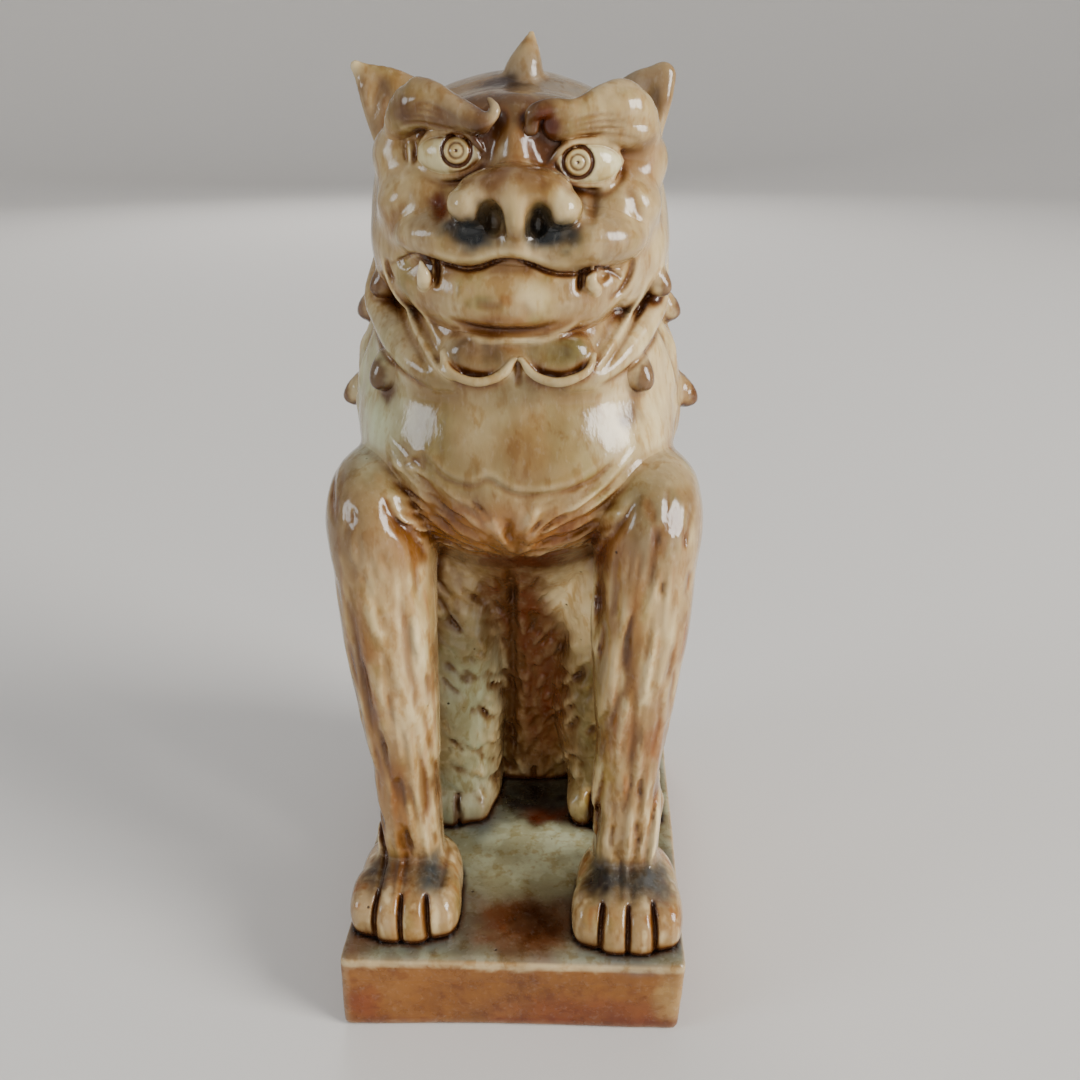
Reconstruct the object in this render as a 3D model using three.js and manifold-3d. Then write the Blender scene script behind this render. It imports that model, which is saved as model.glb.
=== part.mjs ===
// A glazed stoneware guardian lion (foo dog, komainu type with one horn), sitting on a slab-built plinth.
// It is a hollow clay figure: every mesh here is one clay piece as the potter made it before it was luted on
// with slip. Millimetres, +Z up. The lion faces -Y and its own left side is +X. The origin is the middle of
// the plinth's underside.
import * as THREE from "three";
import { mergeVertices } from "three/addons/utils/BufferGeometryUtils.js";
import Module from "manifold-3d";

const wasm = await Module();
wasm.setup();

// ---- Driving dimensions ----------------------------------------------------------------------------------
const HEIGHT = 300; // to the tip of the horn
const PLINTH = { width: 112, depth: 160, height: 28, slab: 9, wall: 9, corner: 2.5 };
const WALL = 8; // thickness of the hollow trunk and skull
const GAP = 0.3; // left between two luted pieces
const VENT = 12; // radius of the vent from the hollow figure into the open underside
const WELD = 1e-3;
const SIDES = [
  { name: "right", sign: -1 },
  { name: "left", sign: 1 },
];
const FLOOR = PLINTH.height + GAP; // where everything that stands on the plinth begins
const FACE_X = 3.5; // the face is set this far to the lion's left, as modelled by hand
const SEAM = { y: 12, z: 120, lean: 0.2 }; // the plane where the front and back halves of the trunk meet

const GLAZE = {
  body: new THREE.MeshStandardMaterial({ color: 0xb49a78, roughness: 0.2, metalness: 0 }),
  pale: new THREE.MeshStandardMaterial({ color: 0xcfc0a4, roughness: 0.18, metalness: 0 }),
  amber: new THREE.MeshStandardMaterial({ color: 0x8a5a30, roughness: 0.2, metalness: 0 }),
  dark: new THREE.MeshStandardMaterial({ color: 0x3a2a20, roughness: 0.15, metalness: 0 }),
};

// ---- Geometry helpers ------------------------------------------------------------------------------------

// A closed BufferGeometry as a manifold-3d solid, facing outwards whichever way it was wound.
function toSolid(geometry) {
  const bare = geometry.clone();
  for (const name of Object.keys(bare.attributes)) {
    if (name !== "position") bare.deleteAttribute(name);
  }
  const merged = mergeVertices(bare, WELD);
  const triangles = [];
  for (let i = 0; i < merged.index.count; i += 3) {
    const [a, b, c] = [0, 1, 2].map((k) => merged.index.getX(i + k));
    if (a !== b && b !== c && c !== a) triangles.push([a, b, c]);
  }
  const build = (list) =>
    new wasm.Manifold(
      new wasm.Mesh({
        numProp: 3,
        vertProperties: new Float32Array(merged.attributes.position.array),
        triVerts: new Uint32Array(list.flat()),
      }),
    );
  const solid = build(triangles);
  return solid.volume() > 0 ? solid : build(triangles.map(([a, b, c]) => [a, c, b]));
}

function toGeometry(solid) {
  const mesh = solid.getMesh();
  const position = new THREE.BufferAttribute(new Float32Array(mesh.vertProperties), 3);
  const geometry = new THREE.BufferGeometry().setAttribute("position", position);
  geometry.setIndex(new THREE.BufferAttribute(new Uint32Array(mesh.triVerts), 1));
  geometry.computeVertexNormals();
  return geometry;
}

// The value between the rows of a table at t from 0 to 1, on a smooth curve through every row.
function smoothRow(rows, t) {
  const place = t * (rows.length - 1);
  const i = Math.min(Math.floor(place), rows.length - 2);
  const f = place - i;
  const row = (k) => rows[THREE.MathUtils.clamp(k, 0, rows.length - 1)];
  return rows[i].map((b, column) => {
    const [a, c, d] = [row(i - 1)[column], row(i + 1)[column], row(i + 2)[column]];
    const slopeB = (c - a) / 2;
    const slopeC = (d - b) / 2;
    return (
      (2 * b - 2 * c + slopeB + slopeC) * f ** 3 +
      (-3 * b + 3 * c - 2 * slopeB - slopeC) * f ** 2 +
      slopeB * f +
      b
    );
  });
}

// A closed skin: pointAt(t, angle, reach) places a ring's point, with reach 0 on the axis and 1 on the skin.
function skin(pointAt, rings, sides) {
  const profile = [new THREE.Vector2(0, 0)];
  for (let i = 0; i <= rings; i++) profile.push(new THREE.Vector2(1, i / rings));
  profile.push(new THREE.Vector2(0, 1));
  const geometry = new THREE.LatheGeometry(profile, sides);
  const position = geometry.attributes.position;
  for (let i = 0; i < position.count; i++) {
    const [x, t, z] = [position.getX(i), position.getY(i), position.getZ(i)];
    const point = pointAt(t, Math.atan2(x, z), Math.hypot(x, z));
    position.setXYZ(i, point.x, point.y, point.z);
  }
  return toSolid(geometry);
}

// An upright lofted body. Each station is [z, centre x, front y, back y, half width].
function upright(stations, { grow = 0, overrun = 0, rings = 14, sides = 16 } = {}) {
  return skin(
    (t, angle, reach) => {
      const [z, x, front, back, half] = smoothRow(stations, t);
      return new THREE.Vector3(
        x + reach * (half + grow) * Math.sin(angle),
        (front + back) / 2 - reach * ((back - front) / 2 + grow) * Math.cos(angle),
        z + (grow + overrun) * (2 * t - 1),
      );
    },
    rings,
    sides,
  );
}

// A tapering roll of clay along a curve. widths are radii along it, and flat scales it along `across`.
function roll(points, widths, { grow = 0, rings = 8, sides = 10, flat = 1, across = [0, 1, 0] } = {}) {
  const path = new THREE.CatmullRomCurve3(points.map((p) => new THREE.Vector3(...p)));
  const thin = new THREE.Vector3(...across).normalize();
  return skin(
    (t, angle, reach) => {
      const along = path.getTangentAt(t);
      const wide = new THREE.Vector3().crossVectors(along, thin).normalize();
      const deep = new THREE.Vector3().crossVectors(wide, along).normalize();
      const [width] = smoothRow(
        widths.map((w) => [w]),
        t,
      );
      return path
        .getPointAt(t)
        .addScaledVector(along, grow * (2 * t - 1))
        .addScaledVector(wide, reach * (width + grow) * Math.sin(angle))
        .addScaledVector(deep, reach * (width * flat + grow) * Math.cos(angle));
    },
    rings,
    sides,
  );
}

function ellipsoid(centre, radii, { grow = 0, turn = [0, 0, 0], sides = 16, rings = 10 } = {}) {
  const geometry = new THREE.SphereGeometry(1, sides, rings);
  geometry.rotateX(Math.PI / 2);
  geometry.scale(...radii.map((r) => r + grow));
  geometry.applyMatrix4(new THREE.Matrix4().makeRotationFromEuler(new THREE.Euler(...turn)));
  geometry.translate(...centre);
  return toSolid(geometry);
}

function block(size, centre, grow = 0) {
  const geometry = new THREE.BoxGeometry(...size.map((s) => s + 2 * grow));
  geometry.translate(...centre);
  return toSolid(geometry);
}

const join = (solids) => solids.reduce((all, next) => all.add(next));

// ---- The trunk and the skull: the two hollow forms ---------------------------------------------------------
const TRUNK = [
  [FLOOR, 0, 20, 58, 31],
  [50, 0, 12, 62, 37],
  [80, 0, 0, 62, 40],
  [110, 0, -14, 57, 41],
  [132, 0, -30, 50, 42],
  [150, 0, -46, 43, 44],
  [170, 0, -57, 37, 49],
  [190, 0, -59, 32, 52],
  [208, 0, -55, 28, 50.5],
  [224, 0, -45, 24, 43],
  [238, 0, -34, 18, 32],
];
const SKULL = [
  [220, 0, -44, 18, 36],
  [232, 0.5, -50, 22, 43],
  [245, 0.5, -52, 23, 44],
  [258, 0.5, -51, 22, 43.5],
  [270, 0.5, -47, 18, 40],
  [280, 1, -41, 11, 34],
  [287, 2, -33, 3, 24.5],
  [290.5, 3, -24, -8, 10],
];
const TRUNK_DETAIL = { rings: 15, sides: 20 };
const SKULL_DETAIL = { rings: 10, sides: 20 };

const trunk = (options = {}) => upright(TRUNK, { ...TRUNK_DETAIL, ...options });
const skull = (options = {}) => upright(SKULL, { ...SKULL_DETAIL, ...options });

// A block on one side of the seam plane: side -1 is the front of the figure, 1 its back.
function halfSpace(side) {
  const size = 400;
  const geometry = new THREE.BoxGeometry(size, size, size);
  geometry.translate(0, side * (size / 2 - GAP / 2), 0);
  geometry.rotateX(SEAM.lean);
  geometry.translate(0, SEAM.y, SEAM.z);
  return toSolid(geometry);
}

function trunkHalf(side) {
  const hollow = trunk({ grow: -WALL, overrun: 2 * WALL });
  return trunk().subtract(hollow).subtract(halfSpace(-side));
}

function skullShell() {
  const hollow = skull({ grow: -WALL });
  const neck = ellipsoid([0, -10, 220], [24, 18, 30], { sides: 14, rings: 8 });
  return skull().subtract(trunk({ grow: GAP })).subtract(hollow).subtract(neck);
}

// ---- The plinth: a top slab on four wall slabs, open underneath ---------------------------------------------
function topSlab(grow = 0) {
  const [w, d, r] = [PLINTH.width / 2 + grow, PLINTH.depth / 2 + grow, PLINTH.corner];
  const outline = new THREE.Shape();
  outline.moveTo(-w + r, -d);
  outline.lineTo(w - r, -d).absarc(w - r, -d + r, r, -Math.PI / 2, 0);
  outline.lineTo(w, d - r).absarc(w - r, d - r, r, 0, Math.PI / 2);
  outline.lineTo(-w + r, d).absarc(-w + r, d - r, r, Math.PI / 2, Math.PI);
  outline.lineTo(-w, -d + r).absarc(-w + r, -d + r, r, Math.PI, Math.PI * 1.5);
  if (!grow) outline.holes.push(new THREE.Path().absarc(0, (TRUNK[0][2] + TRUNK[0][3]) / 2, VENT, 0, 2 * Math.PI, true));
  const geometry = new THREE.ExtrudeGeometry(outline, {
    depth: PLINTH.slab + 2 * grow,
    bevelEnabled: false,
    curveSegments: 6,
  });
  geometry.translate(0, 0, PLINTH.height - PLINTH.slab - grow);
  return toSolid(geometry);
}

const WALL_HEIGHT = PLINTH.height - PLINTH.slab - GAP;

function frontOrBackWall(side, grow = 0) {
  const y = side * (PLINTH.depth - PLINTH.wall) / 2;
  return block([PLINTH.width, PLINTH.wall, WALL_HEIGHT], [0, y, WALL_HEIGHT / 2], grow);
}

function sideWall(side, grow = 0) {
  const length = PLINTH.depth - 2 * PLINTH.wall - 2 * GAP;
  const x = side * (PLINTH.width - PLINTH.wall) / 2;
  return block([PLINTH.wall, length, WALL_HEIGHT], [x, 0, WALL_HEIGHT / 2], grow);
}

// ---- The face ------------------------------------------------------------------------------------------------
function nose(grow = 0) {
  const ball = (dx, z, radii) => ellipsoid([FACE_X + 1 + dx, -59, z], radii, { grow, sides: 10, rings: 7 });
  const form = join([
    ball(0, 258, [15, 8.5, 9]),
    ball(-12, 254, [6, 6.5, 6]),
    ball(12, 254, [6, 6.5, 6]),
    ball(0, 251, [4.5, 7.5, 5]),
  ]);
  if (grow) return form;
  const nostril = (dx) => ellipsoid([FACE_X + 1 + dx, -66, 252], [3.2, 6, 4.6], { sides: 10, rings: 6 });
  return form.subtract(nostril(-6.4)).subtract(nostril(6.4));
}

const muzzle = (grow = 0) => ellipsoid([FACE_X, -46, 250], [35, 15.5, 11], { grow, sides: 16, rings: 8 });
const jaw = (grow = 0) => ellipsoid([FACE_X, -40, 232.5], [36, 19.5, 16], { grow, sides: 16, rings: 10 });

// The lion's right eye and brow sit a little higher than its left ones.
const EYE = { half: 17.8, y: -46.5, z: 268.5, tilt: 1.4 };

const eye = (sign, grow = 0) =>
  ellipsoid([FACE_X + sign * EYE.half, EYE.y, EYE.z - sign * EYE.tilt], [9, 5.5, 6], {
    grow,
    turn: [0, 0, sign * 0.35],
    sides: 12,
    rings: 8,
  });

function brow(sign, grow = 0) {
  const drop = sign * EYE.tilt;
  const path = [
    [33, -35, 271],
    [26.5, -43, 280],
    [16, -49, 281],
    [6, -54, 277.5],
  ].map(([x, y, z]) => [FACE_X + sign * x, y, z - drop]);
  return roll(path, [3, 5.5, 5.8, 4.2], { grow, flat: 0.85 });
}

function ear(sign, grow = 0) {
  const path = [
    [34, -20, 266],
    [39, -20, 280],
    [42.5, -19, HEIGHT - 8],
  ].map(([x, y, z]) => [sign * x + 1, y, z]);
  const form = roll(path, [7, 8.5, 1.5], { grow, flat: 0.55, rings: 6 });
  if (grow) return form;
  const bowl = ellipsoid([sign * 41 + 1, -26, 282], [4.5, 4, 6.5], { sides: 8, rings: 5 });
  return form.subtract(bowl);
}

const horn = (grow = 0) =>
  roll(
    [
      [FACE_X + 1, -22, 284],
      [FACE_X + 2, -22, 292],
      [FACE_X + 3, -20, HEIGHT - 0.3],
    ],
    [5.4, 3.9, 0.8],
    { grow, rings: 5, sides: 8 },
  );

function fang(sign, grow = 0) {
  const x = FACE_X + 1 + sign * 22;
  return roll(
    [
      [x, -52, 234],
      [x + sign, -57, 239],
      [x + sign, -57, 245],
    ],
    [2.6, 2.2, 0.6],
    { grow, rings: 4, sides: 8 },
  );
}

// The edge of the ruff, a flat roll from behind the cheek down to the beard.
function cheekRuff(sign, grow = 0) {
  const path = [
    [45, -22, 246],
    [42.5, -36, 232],
    [35, -47, 219],
    [24, -54, 213],
  ].map(([x, y, z]) => [1 + sign * x, y, z]);
  return roll(path, [3, 6.5, 6, 3], { grow, flat: 0.6, rings: 8 });
}

const beardCurl = (sign, grow = 0) =>
  ellipsoid([FACE_X + 1.5 + sign * 10.8, -53, 218], [10.5, 6.5, 8.5], { grow, sides: 12, rings: 8 });

// ---- Legs, feet and tail -----------------------------------------------------------------------------------
const FORELEG = [
  [40, 36.5, -61, -36, 12.5],
  [54, 36.5, -60, -36, 11.2],
  [80, 36.5, -59, -35, 11],
  [108, 38, -61, -33, 13.2],
  [138, 39.8, -64, -28, 15.3],
  [160, 40.3, -63, -17, 15.4],
  [177, 40.6, -58, -10, 14],
  [188, 40, -49, -16, 9],
];

const foreleg = (sign, grow = 0) =>
  upright(
    FORELEG.map(([z, x, front, back, half]) => [z, sign * x, front, back, half]),
    { grow, rings: 12, sides: 12 },
  );

// A paw: a rounded block with four toes, pointing to -Y, its toe tips at `tip`.
function paw(x, tip, length, grow = 0) {
  const z = PLINTH.height + 5.5;
  const toe = (dx, setBack) =>
    ellipsoid([x + dx, tip + 13 + setBack, z], [5.4, 13, 8.5], { grow, sides: 10, rings: 6 });
  const heel = ellipsoid([x, tip + length / 2 + 4, z], [16, length / 2, 9.2], { grow, sides: 12, rings: 8 });
  return join([heel, toe(-12.6, 3.5), toe(-4.3, 0), toe(4.3, 0), toe(12.6, 3.5)]);
}

const forepaw = (sign, grow = 0) => paw(sign * 37, 4.5 - PLINTH.depth / 2, 46, grow);
const hindPaw = (sign, grow = 0) => paw(sign * 36, -14, 60, grow);

const haunch = (sign, grow = 0) =>
  ellipsoid([sign * 31, 18, 80], [23, 35, 53], { grow, turn: [0.28, 0, 0], sides: 14, rings: 12 });

const TAIL_FRONT = 58; // the tail stands close behind the trunk from here back
function tailLock(sideways, top, width, grow = 0) {
  const path = [
    [sideways * 0.2, TAIL_FRONT + 8, 34],
    [sideways * 0.7, TAIL_FRONT + 11, 34 + (top - 34) * 0.35],
    [sideways * 1.1, TAIL_FRONT + 10, 34 + (top - 34) * 0.7],
    [sideways * 0.9, TAIL_FRONT + 3, top],
  ];
  return roll(path, [width * 0.8, width, width * 0.8, 1.2], { grow, flat: 0.9, rings: 8 });
}

// ---- The mane: pointed curls standing off the neck and nape ------------------------------------------------
const MANE = {
  // Angle round the neck from the front, in degrees, and height.
  pairs: [
    [62, 232],
    [50, 207],
    [92, 221],
    [90, 194],
    [128, 236],
    [124, 208],
    [122, 180],
    [156, 222],
    [154, 194],
  ],
  middle: [240, 209, 180],
  out: 3.5,
};

// Where the clay of the neck or skull ends at that height and angle, with the outward direction.
function maneFoot(degrees, z) {
  const ringOf = (stations) => {
    const rings = Array.from({ length: 60 }, (_, i) => smoothRow(stations, i / 59));
    return rings.reduce((best, ring) => (Math.abs(ring[0] - z) < Math.abs(best[0] - z) ? ring : best));
  };
  const angle = THREE.MathUtils.degToRad(degrees);
  const out = new THREE.Vector3(Math.sin(angle), -Math.cos(angle), 0);
  const points = [TRUNK, SKULL]
    .map(ringOf)
    .filter((ring) => Math.abs(ring[0] - z) < 3)
    .map(([, x, front, back, half]) => {
      const [px, py] = [half * Math.sin(angle), ((back - front) / 2) * -Math.cos(angle)];
      return new THREE.Vector3(x + px, (front + back) / 2 + py, z);
    });
  points.sort((a, b) => b.dot(out) - a.dot(out));
  return { foot: points[0], out };
}

function maneCurl(sign, degrees, z, grow = 0) {
  const { foot, out } = maneFoot(degrees, z);
  const at = (along, rise) => {
    const p = foot.clone().addScaledVector(out, along);
    return [sign * p.x, p.y, p.z + rise];
  };
  return roll([at(-6, 6), at(-1.5, 2), at(MANE.out, -4)], [4.5, 5, 1.2], { grow, rings: 4, sides: 8 });
}

// ---- The clay pieces, in the order they are put together ------------------------------------------------------
// Each later piece is cut to fit the ones before it. `whole` is the piece's outer form, grown by the gap, and
// `made` is the piece itself where that differs.
const pieces = [];
const piece = (name, glaze, whole, made = whole) => pieces.push({ name, glaze, whole, made });

piece("plinth_top_slab", "body", topSlab);
for (const [name, side] of [["front", -1], ["back", 1]]) {
  piece(`plinth_${name}_wall`, "body", (grow) => frontOrBackWall(side, grow));
}
for (const { name, sign } of SIDES) piece(`plinth_${name}_wall`, "body", (grow) => sideWall(sign, grow));

piece("trunk_front_shell", "body", (grow) => trunk({ grow }), () => trunkHalf(-1));
piece("trunk_back_shell", "body", () => halfSpace(-1), () => trunkHalf(1));
piece("head_shell", "body", (grow) => skull({ grow }), skullShell);
piece("muzzle", "body", muzzle);
piece("lower_jaw", "body", jaw);
piece("nose", "dark", nose);
piece("horn", "pale", horn);
for (const { name, sign } of SIDES) {
  piece(`${name}_eyeball`, "pale", (grow) => eye(sign, grow));
  piece(`${name}_brow`, "body", (grow) => brow(sign, grow));
  piece(`${name}_ear`, "body", (grow) => ear(sign, grow));
  piece(`${name}_fang`, "pale", (grow) => fang(sign, grow));
  piece(`${name}_beard_curl`, "amber", (grow) => beardCurl(sign, grow));
  piece(`${name}_cheek_ruff`, "body", (grow) => cheekRuff(sign, grow));
  piece(`${name}_haunch`, "amber", (grow) => haunch(sign, grow));
  piece(`${name}_hind_paw`, "body", (grow) => hindPaw(sign, grow));
  piece(`${name}_forepaw`, "body", (grow) => forepaw(sign, grow));
  piece(`${name}_foreleg`, "body", (grow) => foreleg(sign, grow));
}
piece("tail_middle_lock", "body", (grow) => tailLock(0, 140, 10, grow));
for (const { name, sign } of SIDES) {
  piece(`tail_${name}_lock`, "body", (grow) => tailLock(sign * 17, 108, 8.5, grow));
}
for (const { name, sign } of SIDES) {
  MANE.pairs.forEach(([degrees, z], i) => {
    piece(`${name}_mane_curl_${i + 1}`, "body", (grow) => maneCurl(sign, degrees, z, grow));
  });
}
MANE.middle.forEach((z, i) => {
  piece(`nape_mane_curl_${i + 1}`, "body", (grow) => maneCurl(1, 180, z, grow));
});

// ---- Fitting ---------------------------------------------------------------------------------------------------
function boxesMeet(a, b) {
  return [0, 1, 2].every((i) => a.min[i] < b.max[i] + GAP && b.min[i] < a.max[i] + GAP);
}

const largest = (solid) =>
  solid.decompose().reduce((best, next) => (next.volume() > best.volume() ? next : best));

const SKIP_CUT = new Set(["trunk_back_shell"]); // its outer form is the front shell's, which cuts for both
const ALREADY_FITTED = /^(plinth|trunk|head)_/;

const group = new THREE.Group();
pieces.forEach(({ name, glaze, made }, index) => {
  let solid = made(0);
  if (!ALREADY_FITTED.test(name)) {
    for (const earlier of pieces.slice(0, index)) {
      if (SKIP_CUT.has(earlier.name)) continue;
      const other = earlier.whole(GAP);
      if (boxesMeet(solid.boundingBox(), other.boundingBox())) solid = solid.subtract(other);
    }
    solid = largest(solid);
  }
  const mesh = new THREE.Mesh(toGeometry(solid), GLAZE[glaze]);
  mesh.name = name;
  group.add(mesh);
});

export default group;
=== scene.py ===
"""A glazed stoneware guardian lion on its plinth, sculpted as smooth distance fields round the CAD frame.

Shapes are in millimetres in the row's frame: the lion faces -Y and its own left is +X. Every clay piece is a
distance field. The pieces are blended into one field, tooled with strokes, and each is then cut out of that
common surface, so that neighbours meet with no visible seam. Glaze colours are painted by place, by noise and
by how sheltered the clay is, which stands both for pooled glaze and for painted shade in hollows and round
the feet; a few patches are painted highlights and painted shadows. The shader adds mottling, iron spots and
pinholes.
"""
import math

import bpy
import numpy as np
from mathutils import Euler, Matrix, Vector


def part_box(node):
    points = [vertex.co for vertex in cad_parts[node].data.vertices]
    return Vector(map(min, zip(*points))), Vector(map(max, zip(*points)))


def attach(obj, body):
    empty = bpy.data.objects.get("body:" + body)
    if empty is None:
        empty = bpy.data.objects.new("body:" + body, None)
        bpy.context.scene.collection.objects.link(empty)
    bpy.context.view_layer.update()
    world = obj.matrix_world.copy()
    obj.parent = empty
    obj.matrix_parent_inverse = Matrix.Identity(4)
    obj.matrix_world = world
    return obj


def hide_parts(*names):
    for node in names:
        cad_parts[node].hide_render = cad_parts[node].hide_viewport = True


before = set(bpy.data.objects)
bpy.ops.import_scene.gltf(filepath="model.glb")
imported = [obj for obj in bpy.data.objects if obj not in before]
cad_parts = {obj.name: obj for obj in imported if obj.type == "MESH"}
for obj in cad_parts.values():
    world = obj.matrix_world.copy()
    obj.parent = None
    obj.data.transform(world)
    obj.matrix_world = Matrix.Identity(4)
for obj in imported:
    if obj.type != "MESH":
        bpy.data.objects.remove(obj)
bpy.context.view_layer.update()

F = np.float32
FAR = F(30.0)  # the distance given to anywhere a shape wasn't worked out
MARGIN = 9.0  # how far round itself a shape is worked out
COARSE = 1.0
# Half the plinth's width and depth, and its height.
WIDE, LONG, PLINTH_TOP = (round(place * 1000, 1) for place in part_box("plinth_top_slab")[1])
NECK_Y = -9  # the line up the middle of the neck, which the mane stands out from


# ---- Distance fields -------------------------------------
def melt(a, b, k):
    """The union of two distances, with a fillet about k wide."""
    h = np.maximum(k - np.abs(a - b), 0) / k
    return np.minimum(a, b) - h * h * (k / 4)


class Shape:
    """A distance field: at(x, y, z), worked out only near the box from low to high."""

    def __init__(self, low, high, at):
        self.low, self.high, self.at = np.array(low, F), np.array(high, F), at


def ball(centre, radii, turn=(0, 0, 0), power=2.0):
    """An ellipsoid, boxier as power rises. turn is in degrees about X, Y and Z."""
    c, r = np.array(centre, F), np.array(radii, F)
    m = np.array(Euler([math.radians(t) for t in turn]).to_matrix(), F)
    reach = np.sqrt(((m * r) ** 2).sum(1)) * (1.0 if power == 2 else 1.15)

    def at(x, y, z):
        d = [x - c[0], y - c[1], z - c[2]]
        q = d if not any(turn) else [sum(m[j, i] * d[j] for j in range(3)) for i in range(3)]
        if power == 2:
            k0 = np.sqrt(sum((q[i] / r[i]) ** 2 for i in range(3)))
            k1 = np.sqrt(sum((q[i] / r[i] ** 2) ** 2 for i in range(3))) + 1e-6
            return k0 * (k0 - 1) / k1
        u = [np.abs(q[i]) / r[i] + 1e-4 for i in range(3)]
        s = sum(v ** power for v in u) ** (1 / power)
        g = s ** (1 - power) * np.sqrt(sum((u[i] ** (power - 1) / r[i]) ** 2 for i in range(3)))
        return (s - 1) / (g + 1e-6)

    return Shape(c - reach, c + reach, at)


def spline(rows, steps):
    """Points on a smooth curve through the rows."""
    p = np.array(rows, float)
    p = np.vstack([2 * p[0] - p[1], p, 2 * p[-1] - p[-2]])
    out = []
    for i in range(1, len(p) - 2):
        for t in np.arange(steps) / steps:
            a, b, c, d = p[i - 1:i + 3]
            out.append(0.5 * (2 * b + (c - a) * t + (2 * a - 5 * b + 4 * c - d) * t * t
                              + (3 * b - a - 3 * c + d) * t ** 3))
    return np.array(out + [p[-2]])


def roll(points, radii, flat=1.0, steps=4):
    """A tapering roll of clay along a smooth curve. flat below 1 presses it from front to back."""
    rows = spline([list(p) + [r] for p, r in zip(points, radii)], steps)
    p, r = rows[:, :3], np.maximum(rows[:, 3], 0.2)
    squeeze = np.array([1, 1 / flat, 1])
    q = p * squeeze

    def at(x, y, z):
        c = [v if scale == 1 else scale * v for v, scale in zip((x, y, z), squeeze)]
        best = None
        for i in range(len(q) - 1):
            a, ab = q[i], q[i + 1] - q[i]
            d = [c[k] - F(a[k]) for k in range(3)]
            along = sum(d[k] * F(ab[k]) for k in range(3)) / F(ab @ ab + 1e-9)
            along = np.clip(along, 0, 1)
            gap = np.sqrt(sum((d[k] - along * F(ab[k])) ** 2 for k in range(3)))
            gap = gap - (F(r[i]) + along * F(r[i + 1] - r[i]))
            best = gap if best is None else np.minimum(best, gap)
        return best * F(min(1.0, (1 + flat) / 2))

    big = r.max()
    return Shape(p.min(0) - big, p.max(0) + big, at)


def loft(stations, power=2.2, cap=4.0):
    """An upright body through stations [z, centre x, front y, back y, half width]."""
    s = spline(stations, 8)
    s = s[np.argsort(s[:, 0])]
    low, high = s[0, 0], s[-1, 0]

    def at(x, y, z):
        cx, front, back, half = (np.interp(z, s[:, 0], s[:, i]).astype(F) for i in range(1, 5))
        a, b, cy = half, (back - front) / 2, (front + back) / 2
        u, v = np.abs(x - cx) / a + 1e-3, np.abs(y - cy) / b + 1e-3
        k = (u ** power + v ** power) ** (1 / power)
        g = k ** (1 - power) * np.sqrt((u ** (power - 1) / a) ** 2 + (v ** (power - 1) / b) ** 2)
        d = (k - 1) / g
        ends = np.maximum(F(low) - z, z - F(high))
        return -melt(-d, -ends, cap)

    corner = [(s[:, 1] - s[:, 4]).min(), s[:, 2].min(), low]
    return Shape(corner, [(s[:, 1] + s[:, 4]).max(), s[:, 3].max(), high], at)


def slab(low, high, radius):
    """A box with rounded edges."""
    c, h = (np.array(low) + high) / 2, (np.array(high) - low) / 2 - radius

    def at(x, y, z):
        q = [np.abs(v - F(c[i])) - F(h[i]) for i, v in enumerate((x, y, z))]
        out = np.sqrt(sum(np.maximum(v, 0) ** 2 for v in q))
        return out + np.minimum(np.maximum(np.maximum(q[0], q[1]), q[2]), 0) - F(radius)

    return Shape(low, high, at)


# ---- A grid of samples -----------------------------------
def trilinear(field, i, f):
    """Values of a field at the whole places i and the fractions f beyond them."""
    total = 0
    for corner in np.ndindex(2, 2, 2):
        weight = 1
        for k, far in enumerate(corner):
            weight = weight * (f[:, k] if far else 1 - f[:, k])
        total = total + weight * field[tuple(i[:, k] + far for k, far in enumerate(corner))]
    return total


class Grid:
    """Samples a step apart along three axes."""

    def __init__(self, axes, step):
        self.axes, self.step = axes, step
        self.low = np.array([a[0] for a in axes], F)
        self.shape = tuple(len(a) for a in axes)

    @classmethod
    def between(cls, low, high, step):
        """The grid that fills a box."""
        step *= COARSE
        return cls([np.arange(a, b + step, step, dtype=F) for a, b in zip(low, high)], step)

    def padded(self, cut):
        """The grid of one window, one sample wider all round."""
        step = F(self.step)
        inner = [a[c] for a, c in zip(self.axes, cut)]
        return Grid([np.concatenate([a[:1] - step, a, a[-1:] + step]) for a in inner], self.step)

    def window(self, low, high, margin=MARGIN):
        """The slices and open coordinate arrays of the samples round a box, or None if it misses the grid."""
        cut = []
        for a, lo, hi in zip(self.axes, low, high):
            i, j = np.searchsorted(a, [lo - margin, hi + margin])
            if j - i < 2:
                return None
            cut.append(slice(int(i), int(j)))
        x, y, z = (a[c] for a, c in zip(self.axes, cut))
        return tuple(cut), (x[:, None, None], y[None, :, None], z[None, None, :])

    def piece(self, parts):
        """The field of one clay piece, and the window it was worked out in."""
        low = np.min([s.low for s, _ in parts], 0)
        high = np.max([s.high for s, _ in parts], 0)
        found = self.window(low, high)
        if not found:
            return None
        cut, _ = found
        field = np.full([c.stop - c.start for c in cut], FAR, F)
        for shape, k in parts:
            inner = self.window(shape.low, shape.high)
            if not inner:
                continue
            where, xyz = inner
            local = tuple(slice(max(w.start - c.start, 0), w.stop - c.start) for w, c in zip(where, cut))
            field[local] = melt(field[local], shape.at(*xyz).astype(F), F(k))
        return cut, field

    def sample(self, field, points):
        """Trilinear values of a field at points."""
        p = (points - self.low) / F(self.step)
        p = np.clip(p, 0, np.array(self.shape, F) - 1.001)
        i = p.astype(int)
        return trilinear(field, i, (p - i).astype(F))

    def slope(self, field, points):
        """The unit outward direction of a field at points."""
        h = F(self.step)
        g = []
        for k in range(3):
            e = np.zeros(3, F)
            e[k] = h
            g.append(self.sample(field, points + e) - self.sample(field, points - e))
        g = np.stack(g, 1)
        return g / (np.linalg.norm(g, axis=1, keepdims=True) + 1e-6)


# ---- Noise tied to the object's own coordinates ----------
ORIGIN = np.array([-80.0, -100.0, -20.0])  # a corner outside the object
SPAN = np.array([160.0, 200.0, 340.0])  # from there to the opposite corner


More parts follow.
